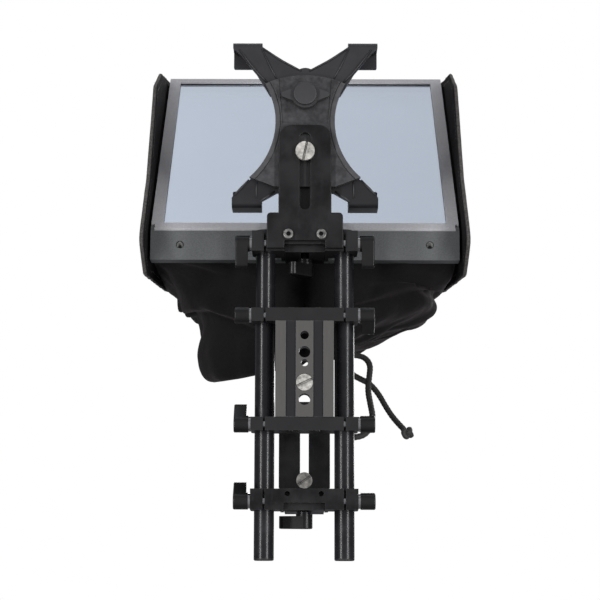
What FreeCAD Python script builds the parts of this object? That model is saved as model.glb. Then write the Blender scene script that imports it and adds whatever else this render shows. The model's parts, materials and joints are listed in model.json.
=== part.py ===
"""Teleprompter on 15 mm rods, with its tablet holder, folding glass, hood and camera plate.

Millimetres, +Z up, the talent's side faces -Y. The origin is the mouth of the tripod thread
in the underside of the base plate.
"""
import FreeCAD, Part
import math
import os
import re
import Sketcher

Vector = FreeCAD.Vector
Placement = FreeCAD.Placement
Rotation = FreeCAD.Rotation

SIZES = {
    # rods and the parts clamped on them
    "rod_radius": 7.5, "rod_bore": 5.6, "rod_offset": 30, "rod_height": 20,
    "rod_front": -96, "rod_rear": 154, "rod_cap": 1.5, "rod_stem": 8,
    "clamp_half": 40, "clamp_bottom": 1, "clamp_top": 31, "clamp_corner": 7,
    "running_gap": 0.1, "slit_half": 0.8, "clamp_axis": 7.5, "bore_depth": 22,
    # base plate and its two end bars
    "base_half": 21.75, "base_front": -23.5, "base_rear": 48.5, "base_thick": 12,
    "bar_thick": 10, "centre_land": 6.5, "groove_width": 7.5, "groove_depth": 1,
    "clearance_hole": 3.25, "clearance_y": -12.6, "tripod_thread": 4.35,
    "small_thread": 2.7, "small_thread_y": 8.1, "spare_screw_y": 22.8,
    "spare_head": 6.3, "spare_head_high": 3, "through_hole": 4.3, "through_hole_y": 35.5,
    "cap_screw_x": 10, "cap_screw_z": 6, "cap_shank": 2, "cap_head": 3.5,
    "cap_head_long": 4, "cap_screw_long": 18,
    # brackets that carry the two slotted legs
    "bracket_front": -92.5, "bracket_thick": 15.5, "bracket_step": 194.1,
    "block_half": 18, "block_top": 46, "block_corner": 2,
    "leg_half": 15, "leg_thick": 5, "guide_gap": 0.3, "guide_depth": 5.2,
    "lock_height": 38, "lock_stud": 3, "lock_depth": 12,
    "under_screw_x": 12.5, "under_screw_inset": 3.7, "under_screw_depth": 10,
    # clamp and lock levers
    "hub_radius": 6.3, "tip_radius": 3.6, "lever_reach": 19, "lever_long": 11,
    "lever_axis_y": -83.6, "stud_radius": 2.5, "stud_long": 16, "collar_radius": 5.6,
    "collar_long": 1.6, "spindle_radius": 3, "lock_collar_long": 2.8,
    # tablet plate
    "tray_bottom": -3, "tray_top": 1, "tray_half": 20, "tray_wide_half": 28.7,
    "tray_front": -173.6, "tray_step": -105.6, "tray_rear": -78.3, "tray_corner": 10,
    "tray_notch": -84.1, "tray_slot_half": 4, "tray_slot_front": -163.6,
    "tray_slot_rear": -112.1, "tablet_screw_y": -152.6, "tablet_screw_head": 7.25,
    "quarter_inch": 3.17, "under_head": 3.8, "under_head_high": 2.5,
    # camera plate
    "camera_bottom": 76, "camera_thick": 5, "camera_half": 20, "camera_front": 29.4,
    "camera_neck": 96.5, "camera_slot_half": 3.35, "camera_slot_front": 40.7,
    "camera_slot_rear": 92, "camera_leg_bottom": 5, "camera_leg_slot_low": 14.5,
    "camera_leg_slot_high": 66, "camera_screw_y": 91, "camera_head": 6.25,
    # lower rail and the leg under it
    "rail_half": 120.7, "rail_rear": -78.7, "rail_bottom": 48, "rail_top": 62,
    "rail_wall": 2.5, "fold_y": -102.3, "fold_gap": 0.3, "rail_hole": 3.1,
    "rail_hole_x": 97.6, "rail_hole_y": -90.7, "rail_seat": 1.6,
    "end_screw_head": 2.5, "foot_front": -91.6, "foot_thick": 4,
    "foot_screw_x": 8, "foot_screw_y": -87, "frame_leg_bottom": 6.5,
    "frame_leg_slot_low": 12, "frame_leg_slot_high": 46,
    # glass frame, drawn flat: y runs up the frame from the fold, z out of its front face
    "frame_long": 246.3, "frame_deep": 12, "open_half": 111.3, "open_low": 10.6,
    "open_high": 239.8, "lip_thick": 1.4, "rebate": 3.8, "gasket_thick": 0.8,
    "glass_thick": 3, "retainer_thick": 2, "retainer_width": 3.4, "hinge_round": 4,
    "ear_inner": 118.2, "ear_gap": 0.3, "pin_radius": 1.5, "pin_inner": 110,
    # hood
    "board_inner": 123, "board_thick": 3.8, "hood_top": 256, "hood_front": -283,
    "hood_rear": -89, "cloth_thick": 3, "band_thick": 3,
    # tablet holder
    "shell_bottom": 1.2, "shell_thick": 4.8, "jaw_thick": 3.5, "tongue_half": 13,
    "tongue_rear": -140, "guide_wall": 3.7, "guide_front": -191, "guide_rear": -142,
    "guide_low": 12.2, "guide_high": 14.2, "claw_inner": 33, "claw_outer": 55.7,
    "jaw_tab": -107.5, "claw_top": 28, "claw_wall": 4, "claw_roll": 4.5, "lip_reach": 16, "claw_lip": 3,
    "upper_claw_y": -242, "lower_claw_y": -111.8, "knob_y": -197, "knob_hub": 8.8,
    "knob_skirt": 10.3, "wing_half": 18, "wing_tip": 2.2, "wing_root": 8.5, "knob_slot_rear": -151,
    # drawstring
    "cord_radius": 2.4, "knot_end": 3, "knot_radius": 5.2, "knot_half": 5,
}

doc = FreeCAD.newDocument("teleprompter")
sheet = doc.addObject("Spreadsheet::Sheet", "Sizes")
sub_parts = []


def fill_sheet():
    for row, (alias, size) in enumerate(SIZES.items(), start=1):
        sheet.set(f"A{row}", alias)
        sheet.set(f"B{row}", str(size))
        sheet.setAlias(f"B{row}", alias)
    doc.recompute()


def formula(text):
    """An expression in which each size's name points into the sheet."""
    return re.sub(r"[a-z_]{3,}", lambda word: sized(word.group()), str(text))


def sized(word):
    return f"Sizes.{word}" if word in SIZES else word


def value(text):
    return float(sheet.evalExpression(formula(text)))


def bind(thing, name, text):
    thing.setExpression(name, formula(text))


def keep(thing, label):
    thing.Label = label
    sub_parts.append(thing)
    return thing


def new_body(label):
    return keep(doc.addObject("PartDesign::Body", label), label)


# ---- sketches ------------------------------------------------------------------------------

def sketch_on(body, role, level):
    """A sketch on one of the body's own planes, moved along the world axis to a level."""
    sketch = body.newObject("Sketcher::SketchObject", body.Name + "_sketch")
    origin_plane = next(f for f in body.Origin.OriginFeatures if f.Role == role + "_Plane")
    sketch.AttachmentSupport = (origin_plane, [""])
    sketch.MapMode = "FlatFace"
    sign = "-" if role == "XZ" else ""
    bind(sketch, "AttachmentOffset.Base.z", f"{sign}({level})")
    return sketch


def fix(sketch, kind, ends, text):
    index = sketch.addConstraint(Sketcher.Constraint(kind, *ends, value(text)))
    sketch.setExpression(f"Constraints[{index}]", formula(text))


def fix_point(sketch, edge, end, x, y):
    fix(sketch, "DistanceX", (-1, 1, edge, end), x)
    fix(sketch, "DistanceY", (-1, 1, edge, end), y)


def arc_between(start, end, radius):
    """An arc that bulges to the right of the way from start to end, or left if negative."""
    chord = end - start
    size = abs(radius)
    rise = size - math.sqrt(max(size ** 2 - (chord.Length / 2) ** 2, 0))
    side = Vector(chord.y, -chord.x, 0).normalize() * math.copysign(rise, radius)
    return Part.Arc(start, start + chord / 2 + side, end)


def outline(*corners):
    """A closed outline: each corner is (x, y), or (x, y, radius) where an arc leaves it."""
    def draw(sketch):
        points = [Vector(value(c[0]), value(c[1]), 0) for c in corners]
        ends = []
        for index, corner in enumerate(corners):
            start, end = points[index], points[(index + 1) % len(points)]
            if len(corner) == 2:
                edge = sketch.addGeometry(Part.LineSegment(start, end), False)
                ends.append((edge, 1, 2))
                continue
            edge = sketch.addGeometry(arc_between(start, end, value(corner[2])), False)
            ends.append((edge, 1, 2) if value(corner[2]) > 0 else (edge, 2, 1))
            fix(sketch, "Radius", (edge,), f"abs({corner[2]})")
        for index, corner in enumerate(corners):
            edge, first, last = ends[index]
            after, after_first, _ = ends[(index + 1) % len(ends)]
            sketch.addConstraint(Sketcher.Constraint("Coincident", edge, last, after, after_first))
            fix_point(sketch, edge, first, corner[0], corner[1])
    return draw


def rectangle(x_low, x_high, y_low, y_high):
    return outline((x_low, y_low), (x_high, y_low), (x_high, y_high), (x_low, y_high))


def rounded(x_low, x_high, y_low, y_high, radius):
    """A rectangle with round corners, anticlockwise from its lower left."""
    return outline(
        (f"{x_low} + {radius}", y_low), (f"{x_high} - {radius}", y_low, radius),
        (x_high, f"{y_low} + {radius}"), (x_high, f"{y_high} - {radius}", radius),
        (f"{x_high} - {radius}", y_high), (f"{x_low} + {radius}", y_high, radius),
        (x_low, f"{y_high} - {radius}"), (x_low, f"{y_low} + {radius}", radius))


def circle(x, y, radius):
    def draw(sketch):
        shape = Part.Circle(Vector(value(x), value(y), 0), Vector(0, 0, 1), value(radius))
        edge = sketch.addGeometry(shape, False)
        fix_point(sketch, edge, 3, x, y)
        fix(sketch, "Radius", (edge,), radius)
    return draw


def hexagon(y, corner_radius):
    """A hexagon about (0, y) with a corner on each side of X."""
    turns = [math.radians(60 * k) for k in range(6)]
    return outline(*[(f"{corner_radius} * {math.cos(a):.4f}", f"{y} + {corner_radius} * {math.sin(a):.4f}")
                     for a in turns])


def slot(x, y_low, y_high, half):
    """An upright slot between two end centres."""
    def draw(sketch):
        across, low, high, radius = value(x), value(y_low), value(y_high), value(half)
        left, right = across - radius, across + radius
        low_arc = Part.Arc(Vector(left, low), Vector(across, low - radius), Vector(right, low))
        high_arc = Part.Arc(Vector(right, high), Vector(across, high + radius), Vector(left, high))
        side_up = Part.LineSegment(Vector(right, low), Vector(right, high))
        side_down = Part.LineSegment(Vector(left, high), Vector(left, low))
        edges = [sketch.addGeometry(g, False) for g in (low_arc, side_up, high_arc, side_down)]
        for edge, after in zip(edges, edges[1:] + edges[:1]):
            sketch.addConstraint(Sketcher.Constraint("Tangent", edge, 2, after, 1))
        sketch.addConstraint(Sketcher.Constraint("Equal", edges[0], edges[2]))
        fix_point(sketch, edges[0], 3, x, y_low)
        fix_point(sketch, edges[2], 3, x, y_high)
        fix(sketch, "Radius", (edges[0],), half)
    return draw


# ---- features ------------------------------------------------------------------------------

def layer(body, kind, role, low, high, *shapes):
    """A pad or pocket between two levels along the plane's axis."""
    profile = sketch_on(body, role, f"(({low}) + ({high})) / 2")
    for draw in shapes:
        draw(profile)
    feature = body.newObject("PartDesign::" + kind, body.Name + "_" + kind.lower())
    feature.Profile = profile
    feature.SideType = "Symmetric"
    bind(feature, "Length", f"({high}) - ({low})")
    return feature


def pad(body, role, low, high, *shapes):
    return layer(body, "Pad", role, low, high, *shapes)


def cut(body, role, low, high, *shapes):
    """A pocket, checked to have taken something away."""
    doc.recompute()
    before = body.Shape.Volume
    feature = layer(body, "Pocket", role, low, high, *shapes)
    doc.recompute()
    if body.Shape.Volume > before - 0.01:
        raise ValueError(f"{feature.Name} cuts nothing")
    return feature


def turn(body, *corners):
    """A solid of revolution about the body's Z axis; corners are (radius, z)."""
    profile = sketch_on(body, "XZ", "0")
    outline(*corners)(profile)
    feature = body.newObject("PartDesign::Revolution", body.Name + "_turned")
    feature.Profile = profile
    feature.ReferenceAxis = (profile, ["V_Axis"])
    feature.Angle = 360
    return feature


def soften(body, radius, chosen):
    """A fillet on the edges that the test picks."""
    doc.recompute()
    base = body.Tip
    names = [f"Edge{i}" for i, edge in enumerate(base.Shape.Edges, start=1) if chosen(edge)]
    feature = body.newObject("PartDesign::Fillet", body.Name + "_soft")
    feature.Base = (base, names)
    bind(feature, "Radius", radius)
    return feature


def along(edge, axis):
    """Whether an edge is straight and runs along one world axis."""
    if edge.Curve.TypeId != "Part::GeomLine":
        return False
    direction = edge.Curve.Direction
    return abs(abs(direction.dot(axis)) - 1) < 1e-6


def place(thing, x, y, z, rotation=Rotation()):
    thing.Placement = Placement(Vector(value(x), value(y), value(z)), rotation)
    for axis, text in zip("xyz", (x, y, z)):
        bind(thing, f"Placement.Base.{axis}", text)


def group(label, things):
    """Identical pieces as one sub-part of separate solids."""
    compound = doc.addObject("Part::Compound", label)
    compound.Links = things
    for thing in things:
        sub_parts.remove(thing)
    return keep(compound, label)


# ---- base ----------------------------------------------------------------------------------

def base_plate():
    body = new_body("base_plate")
    pad(body, "XY", "0", "base_thick",
        rectangle("-base_half", "base_half", "base_front", "base_rear"),
        circle("0", "clearance_y", "clearance_hole"),
        circle("0", "0", "tripod_thread"),
        circle("0", "small_thread_y", "small_thread"),
        circle("0", "spare_screw_y", "quarter_inch + running_gap"),
        circle("0", "through_hole_y", "through_hole"))
    for side in ("-", ""):
        edges = [f"{side}centre_land", f"{side}(centre_land + groove_width)"]
        low, high = sorted(edges, key=value)
        cut(body, "XY", "-1", "groove_depth",
            rectangle(low, high, "base_front - 1", "base_rear + 1"))
    cut(body, "XY", "-1", "spare_head_high + 0.3",
        circle("0", "spare_screw_y", "spare_head + 0.3"))
    cut(body, "XZ", "base_front - 1", "base_front + 9", *cap_screw_holes("cap_shank"))
    cut(body, "XZ", "base_rear - 9", "base_rear + 1", *cap_screw_holes("cap_shank"))


def cap_screw_holes(radius):
    return [circle(f"{side}cap_screw_x", "cap_screw_z", radius) for side in ("-", "")]


def clamp_cuts(body, lever_y):
    """Slits under both rod bores, and the bores of the two clamp studs."""
    for side in ("-", ""):
        middle = f"{side}rod_offset"
        front, rear = body.Shape.BoundBox.YMin - 1, body.Shape.BoundBox.YMax + 1
        cut(body, "XZ", front, rear,
            rectangle(f"{middle} - slit_half", f"{middle} + slit_half", "0", "rod_height - rod_radius + 1"))
        ends = sorted([f"{side}(clamp_half - bore_depth)", f"{side}(clamp_half + 1)"], key=value)
        cut(body, "YZ", *ends, circle(lever_y, "clamp_axis", "stud_radius + running_gap"))


def rod_bores():
    return [circle(f"{side}rod_offset", "rod_height", "rod_radius + running_gap")
            for side in ("-", "")]


def base_bar(label, front, outer_face, inward):
    """One cross bar of the base: two rod clamps and two counterbored screws."""
    body = new_body(label)
    pad(body, "XZ", front, f"{front} + bar_thick",
        outline(("-clamp_half", "clamp_bottom"), ("clamp_half", "clamp_bottom"),
                ("clamp_half", "clamp_top - clamp_corner", "clamp_corner"),
                ("clamp_half - clamp_corner", "clamp_top"),
                ("clamp_corner - clamp_half", "clamp_top", "clamp_corner"),
                ("-clamp_half", "clamp_top - clamp_corner")),
        *rod_bores(), *cap_screw_holes("cap_shank + running_gap"))
    doc.recompute()
    clamp_cuts(body, f"{front} + bar_thick / 2")
    ends = sorted([f"{outer_face} - ({inward}) * 1", f"{outer_face} + ({inward}) * 3.5"], key=value)
    cut(body, "XZ", *ends, *cap_screw_holes("cap_head + 0.2"))


def cap_screw(index, x, seat_y, facing):
    """A socket cap screw that points inward along Y from its seat."""
    body = new_body(f"cap_screw_{index}")
    turn(body, ("0", "-cap_head_long"), ("cap_head", "-cap_head_long"), ("cap_head", "0"),
         ("cap_shank", "0"), ("cap_shank", "cap_screw_long - 4"), ("0", "cap_screw_long - 4"))
    cut(body, "XY", "-cap_head_long - 1", "2 - cap_head_long", hexagon("0", "cap_shank"))
    place(body, x, seat_y, "cap_screw_z", Rotation(Vector(1, 0, 0), -90 * facing))
    return body


def base_bar_screws():
    screws = []
    for x in ("-cap_screw_x", "cap_screw_x"):
        screws.append(cap_screw(len(screws), x, "base_front - bar_thick + 3.5", 1))
        screws.append(cap_screw(len(screws), x, "base_rear + bar_thick - 3.5", -1))
    group("base_bar_screws", screws)


def slotted_screw(label, head, head_high, shank_long, y, seat, slot_angle):
    """A quarter-inch screw with a slotted head under its seat and the shank going up."""
    body = new_body(label)
    turn(body, ("0", f"-({head_high})"), (head, f"-({head_high})"), (head, "0"),
         ("quarter_inch", "0"), ("quarter_inch", shank_long), ("0", shank_long))
    cut(body, "XY", f"-({head_high}) - 1", f"1.4 - ({head_high})",
        rectangle(f"-({head}) - 1", f"{head} + 1", "-0.9", "0.9"))
    rounded_rim = lambda edge: edge.Curve.TypeId == "Part::GeomCircle" and edge.BoundBox.ZMax > -1
    soften(body, "0.5", lambda e: rounded_rim(e) and abs(e.Curve.Radius - value(head)) < 0.01)
    place(body, "0", y, seat, Rotation(Vector(0, 0, 1), slot_angle))
    return body


# ---- rods ----------------------------------------------------------------------------------

def rods():
    for label, side in (("rod_left", "-"), ("rod_right", "")):
        body = new_body(label)
        pad(body, "XZ", "rod_front + rod_cap", "rod_rear - rod_cap",
            circle(f"{side}rod_offset", "rod_height", "rod_radius"),
            circle(f"{side}rod_offset", "rod_height", "rod_bore"))


def rod_plug(index, side, end_y, facing):
    """A plug whose stem fills the tube's end and whose rounded cap closes it."""
    body = new_body(f"rod_plug_{index}")
    turn(body, ("0", "0"), ("rod_radius - 1.2", "0", "1.2"), ("rod_radius", "1.2"),
         ("rod_radius", "rod_cap"), ("rod_bore", "rod_cap"),
         ("rod_bore", "rod_cap + rod_stem"), ("0", "rod_cap + rod_stem"))
    place(body, f"{side}rod_offset", end_y, "rod_height", Rotation(Vector(1, 0, 0), -90 * facing))
    return body


def rod_end_plugs():
    plugs = []
    for side in ("-", ""):
        plugs.append(rod_plug(len(plugs), side, "rod_front", 1))
        plugs.append(rod_plug(len(plugs), side, "rod_rear", -1))
    group("rod_end_plugs", plugs)


# ---- brackets and what they carry ------------------------------------------------------------

def bracket(label, shift):
    """A rod bracket with a raised block, grooved at the rear to guide a slotted leg."""
    front = f"(bracket_front + {shift})"
    rear = f"(bracket_front + {shift} + bracket_thick)"
    body = new_body(label)
    pad(body, "XZ", front, rear,
        outline(("-clamp_half", "clamp_bottom"), ("clamp_half", "clamp_bottom"),
                ("clamp_half", "clamp_top - clamp_corner", "clamp_corner"),
                ("clamp_half - clamp_corner", "clamp_top"), ("block_half", "clamp_top"),
                ("block_half", "block_top - block_corner", "block_corner"),
                ("block_half - block_corner", "block_top"),
                ("block_corner - block_half", "block_top", "block_corner"),
                ("-block_half", "block_top - block_corner"), ("-block_half", "clamp_top"),
                ("clamp_corner - clamp_half", "clamp_top", "clamp_corner"),
                ("-clamp_half", "clamp_top - clamp_corner")),
        *rod_bores())
    doc.recompute()
    clamp_cuts(body, f"lever_axis_y + {shift}")
    cut(body, "XY", "0", "block_top + 1",
        rectangle("-leg_half - guide_gap", "leg_half + guide_gap", f"{rear} - guide_depth", f"{rear} + 1"))
    cut(body, "XZ", f"{rear} - lock_depth - guide_depth", f"{rear} + 1",
        circle("0", "lock_height", "lock_stud + running_gap"))
    cut(body, "XY", "0", "clamp_bottom + under_screw_depth",
        *[circle(f"{side}under_screw_x", f"{front} + under_screw_inset", "cap_shank") for side in ("-", "")])
    return body


def tablet_plate():
    """The slotted plate under the front bracket that carries the tablet holder."""
    body = new_body("tablet_plate")
    pad(body, "XY", "tray_bottom", "tray_top",
        outline(("tray_corner - tray_half", "tray_front"),
                ("tray_half - tray_corner", "tray_front", "tray_corner"),
                ("tray_half", "tray_front + tray_corner"), ("tray_half", "tray_step"),
                ("tray_wide_half - 3", "tray_step", "3"), ("tray_wide_half", "tray_step + 3"),
                ("tray_wide_half", "tray_rear"),
                ("leg_half + guide_gap", "tray_rear"), ("leg_half + guide_gap", "tray_notch"),
                ("-leg_half - guide_gap", "tray_notch"), ("-leg_half - guide_gap", "tray_rear"),
                ("-tray_wide_half", "tray_rear"), ("-tray_wide_half", "tray_step + 3", "3"),
                ("3 - tray_wide_half", "tray_step"), ("-tray_half", "tray_step"),
                ("-tray_half", "tray_front + tray_corner", "tray_corner")),
        slot("0", "tray_slot_front", "tray_slot_rear", "tray_slot_half"),
        *[circle(f"{side}under_screw_x", "bracket_front + under_screw_inset", "cap_shank + running_gap")
          for side in ("-", "")])
    underside = value("tray_bottom") + 0.01
    soften(body, "0.6", lambda e: e.BoundBox.ZLength < 0.01 and e.BoundBox.ZMax < underside)


def tablet_plate_screws():
    screws = []
    for side in ("-", ""):
        body = new_body(f"under_screw_{len(screws)}")
        turn(body, ("0", "-under_head_high"), ("under_head - 0.8", "-under_head_high", "0.8"),
             ("under_head", "0.8 - under_head_high"), ("under_head", "0"), ("cap_shank", "0"),
             ("cap_shank", "12"), ("0", "12"))
        cut(body, "XY", "-under_head_high - 1", "1.4 - under_head_high", hexagon("0", "1.6"))
        place(body, f"{side}under_screw_x", "bracket_front + under_screw_inset", "tray_bottom")
        screws.append(body)
    group("tablet_plate_screws", screws)


def camera_plate():
    """A slotted plate on a slotted leg, as one bent angle."""
    rear = "(bracket_front + bracket_step + bracket_thick)"
    body = new_body("camera_plate")
    pad(body, "XY", "camera_bottom", "camera_bottom + camera_thick",
        outline(("-leg_half", rear), ("-leg_half", "camera_neck + 5"), ("-camera_half", "camera_neck"),
                ("-camera_half", "camera_front + 4", "4"), ("4 - camera_half", "camera_front"),
                ("camera_half - 4", "camera_front", "4"), ("camera_half", "camera_front + 4"),
                ("camera_half", "camera_neck"), ("leg_half", "camera_neck + 5"), ("leg_half", rear)),
        slot("0", "camera_slot_front", "camera_slot_rear", "camera_slot_half"))
    pad(body, "XZ", f"{rear} - leg_thick", rear,
        rectangle("-leg_half", "leg_half", "camera_leg_bottom", "camera_bottom + camera_thick"))
    cut(body, "XZ", f"{rear} - leg_thick - 1", f"{rear} + 1",
        slot("0", "camera_leg_slot_low", "camera_leg_slot_high", "lock_stud + 0.2"))
    outer_bend = lambda e: (along(e, Vector(1, 0, 0)) and e.BoundBox.ZMax > value("camera_bottom + 4.9")
                            and e.BoundBox.YMin > value(rear) - 0.1)
    soften(body, "3", outer_bend)


def frame_leg():
    """The slotted leg under the rail, with a foot that lies inside the rail."""
    rear = "(bracket_front + bracket_thick)"
    body = new_body("frame_leg")
    foot_low = "(rail_bottom + rail_wall)"
    pad(body, "XZ", f"{rear} - leg_thick", rear,
        rectangle("-leg_half", "leg_half", "frame_leg_bottom", f"{foot_low} + foot_thick"))
    pad(body, "XY", foot_low, f"{foot_low} + foot_thick",
        rectangle("-leg_half", "leg_half", "foot_front", rear),
        *[circle(f"{side}foot_screw_x", "foot_screw_y", "cap_shank") for side in ("-", "")])
    cut(body, "XZ", f"{rear} - leg_thick - 1", f"{rear} + 1",
        slot("0", "frame_leg_slot_low", "frame_leg_slot_high", "lock_stud + 0.2"))


# ---- levers ----------------------------------------------------------------------------------

def lever(label, knob_start, at, turned):
    """A moulded lever: round hub and tapered arm along local +X, turning about local Z."""
    body = new_body(label + "_lever")
    knob_end = f"({knob_start} + lever_long)"
    tip_x = "(lever_reach - tip_radius)"
    lean = math.asin((value("hub_radius") - value("tip_radius")) / value(tip_x))
    across, forward = math.cos(lean), math.sin(lean)
    pad(body, "XY", f"{knob_start} + 1.5", knob_end,
        outline((f"hub_radius * {forward:.5f}", f"-hub_radius * {across:.5f}"),
                (f"{tip_x} + tip_radius * {forward:.5f}", f"-tip_radius * {across:.5f}", "tip_radius"),
                (f"{tip_x} + tip_radius * {forward:.5f}", f"tip_radius * {across:.5f}"),
                (f"hub_radius * {forward:.5f}", f"hub_radius * {across:.5f}")))
    pad(body, "XY", knob_start, knob_end, circle("0", "0", "hub_radius"))
    cut(body, "XY", f"{knob_start} - 1", f"{knob_end} - 2", circle("0", "0", "spindle_radius"))
    soften(body, "1", lambda e: e.BoundBox.ZLength < 0.01 and e.BoundBox.ZMax > value(knob_end) - 0.01)
    body.Placement = Placement(at, turned)


def lever_stud(label, stud, collar_long, at, turned):
    """The threaded stud, its bright collar and the spindle inside the lever's hub."""
    body = new_body(label + "_stud")
    turn(body, ("0", "-stud_long"), (stud, "-stud_long"), (stud, "0"), ("collar_radius", "0"),
         ("collar_radius", collar_long), ("spindle_radius", collar_long),
         ("spindle_radius", f"{collar_long} + lever_long - 2"), ("0", f"{collar_long} + lever_long - 2"))
    body.Placement = Placement(at, turned)


def facing(outward, arm):
    """A rotation that turns local Z outward and local X along the arm."""
    return Rotation(arm, outward.cross(arm), outward, "ZXY")


CLAMP_LEVERS = (
    # label, which end of the object, side, the arm's angle up from the rear
    ("clamp_front_left", "front_bracket", -1, 0), ("clamp_front_right", "front_bracket", 1, 0),
    ("clamp_second_left", "front_bar", -1, 90), ("clamp_second_right", "front_bar", 1, 55),
    ("clamp_third_left", "rear_bar", -1, 142), ("clamp_third_right", "rear_bar", 1, 90),
    ("clamp_rear_left", "rear_bracket", -1, 135), ("clamp_rear_right", "rear_bracket", 1, 90),
)


def clamp_levers():
    middles = {"front_bracket": "lever_axis_y", "rear_bracket": "lever_axis_y + bracket_step",
               "front_bar": "base_front - bar_thick / 2", "rear_bar": "base_rear + bar_thick / 2"}
    for label, holder, side, angle in CLAMP_LEVERS:
        at = Vector(side * value("clamp_half + running_gap"), value(middles[holder]), value("clamp_axis"))
        arm = Vector(0, math.cos(math.radians(angle)), math.sin(math.radians(angle)))
        turned = facing(Vector(side, 0, 0), arm)
        lever(label, "collar_long", at, turned)
        lever_stud(label, "stud_radius", "collar_long", at, turned)


def lock_levers():
    """The two levers behind the brackets that lock the legs' heights."""
    for label, shift, collar, angle in (("lock_front", "0", "lock_collar_long", 235),
                                        ("lock_rear", "bracket_step", "collar_long", 180)):
        face = value(f"bracket_front + {shift} + bracket_thick + running_gap")
        at = Vector(0, face, value("lock_height"))
        arm = Vector(math.cos(math.radians(angle)), 0, math.sin(math.radians(angle)))
        turned = facing(Vector(0, 1, 0), arm)
        lever(label, collar, at, turned)
        lever_stud(label, "lock_stud", collar, at, turned)


# ---- lower rail, frame and glass -------------------------------------------------------------

def on_fold(up, deep):
    """World (y, z) expressions of a point up the frame and behind its front face, at rest."""
    half = math.sqrt(0.5)
    return (f"fold_y + {half:.6f} * (({deep}) - ({up}))", f"rail_bottom + {half:.6f} * (({deep}) + ({up}))")


def lower_rail():
    """A tray-shaped rail whose sloping front face meets the glass frame's lower edge."""
    body = new_body("lower_rail")
    slope_foot = "(fold_y + fold_gap * 1.4142)"
    pad(body, "YZ", "-rail_half", "rail_half",
        outline((slope_foot, "rail_bottom"), ("rail_rear", "rail_bottom"), ("rail_rear", "rail_top"),
                (f"{slope_foot} + rail_top - rail_bottom", "rail_top")))
    cut(body, "YZ", "-ear_inner", "ear_inner",
        outline((f"{slope_foot} + rail_wall * 2.4142", "rail_bottom + rail_wall"),
                ("rail_rear - rail_wall", "rail_bottom + rail_wall"),
                ("rail_rear - rail_wall", "rail_top + 1"),
                (f"{slope_foot} + rail_wall * 1.4142 + rail_top + 1 - rail_bottom", "rail_top + 1")))
    cut(body, "XY", "rail_bottom - 1", "rail_bottom + rail_wall + foot_thick + 0.5",
        rectangle("-leg_half - guide_gap", "leg_half + guide_gap",
                  "bracket_front + bracket_thick - leg_thick - 0.2", "rail_rear + 1"))
    seats = [circle(f"{side}rail_hole_x", "rail_hole_y", "rail_hole") for side in ("-", "")]
    cut(body, "XY", "rail_bottom - 1", "rail_bottom + rail_seat", *seats)
    holes = [circle(f"{side}rail_hole_x", "rail_hole_y", "pin_radius + 0.1") for side in ("-", "")]
    screws = [circle(f"{side}foot_screw_x", "foot_screw_y", "cap_shank + running_gap") for side in ("-", "")]
    cut(body, "XY", "rail_bottom - 1", "rail_bottom + rail_wall + 1", *holes, *screws)
    pivot = on_fold("hinge_round", "hinge_round")
    web = [on_fold(up, deep) for up, deep in (("-0.8", "1.5"), ("-0.8", "8"), ("4", "8"), ("4", "4"))]
    for side in ("-", ""):
        ends = sorted([f"{side}ear_inner", f"{side}rail_half"], key=value)
        pad(body, "YZ", *ends, outline(*web))
        pad(body, "YZ", *ends, circle(*pivot, "hinge_round"))
        cut(body, "YZ", *ends, circle(*pivot, "pin_radius"))


def hinge_pins():
    pins = []
    for side in (-1, 1):
        pin = doc.addObject("Part::Cylinder", f"hinge_pin_{len(pins)}")
        sub_parts.append(pin)
        bind(pin, "Radius", "pin_radius")
        bind(pin, "Height", "rail_half + 0.5 - pin_inner")
        y, z = on_fold("hinge_round", "hinge_round")
        start = "pin_inner" if side > 0 else "-rail_half - 0.5"
        place(pin, start, y, z, Rotation(Vector(0, 1, 0), 90))
        pins.append(pin)
    group("hinge_pins", pins)


def rail_screws():
    """Two pins that hold the leg's foot inside the rail, and a sunk socket screw at each end."""
    screws = []
    for side in ("-", ""):
        body = new_body(f"rail_screw_{len(screws)}")
        turn(body, ("0", "0.1"), ("cap_shank", "0.1"), ("cap_shank", "6.3"), ("0", "6.3"))
        place(body, f"{side}foot_screw_x", "foot_screw_y", "rail_bottom")
        screws.append(body)
    for side in ("-", ""):
        body = new_body(f"rail_screw_{len(screws)}")
        turn(body, ("0", "0.4"), ("end_screw_head", "0.4"), ("end_screw_head", "rail_seat"),
             ("pin_radius", "rail_seat"), ("pin_radius", "5"), ("0", "5"))
        cut(body, "XY", "-1", "1.2", hexagon("0", "1.1"))
        place(body, f"{side}rail_hole_x", "rail_hole_y", "rail_bottom")
        screws.append(body)
    group("rail_screws", screws)


def stand_on_fold(body):
    """Turns a flat-drawn piece of the frame up to its slope of 45 degrees."""
    place(body, "0", "fold_y", "rail_bottom", Rotation(Vector(1, 0, 0), 135))


def frame_hole(grow):
    return rectangle(f"-open_half - ({grow})", f"open_half + ({grow})",
                     f"open_low - ({grow})", f"open_high + ({grow})")


def glass_frame():
    body = new_body("glass_frame")
    pad(body, "XY", "-frame_deep", "0",
        rectangle("-rail_half", "rail_half", "0", "frame_long"), frame_hole("0"))
    cut(body, "XY", "-frame_deep - 1", "-lip_thick", frame_hole("rebate"))
    lower_front = lambda e: (along(e, Vector(1, 0, 0)) and abs(e.BoundBox.YMax) < 0.01
                             and abs(e.BoundBox.ZMax) < 0.01)
    soften(body, "hinge_round", lower_front)
    for side in ("-", ""):
        ends = sorted([f"{side}(ear_inner - ear_gap)", f"{side}(rail_half + 1)"], key=value)
        cut(body, "YZ", *ends, rectangle("-1", "hinge_round * 2 + 0.5", "-frame_deep - 1", "1"))
        bore = sorted([f"{side}(pin_inner - 1)", f"{side}(rail_half + 1)"], key=value)
        cut(body, "YZ", *bore, circle("hinge_round", "-hinge_round", "pin_radius + 0.15"))
    stand_on_fold(body)


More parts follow.
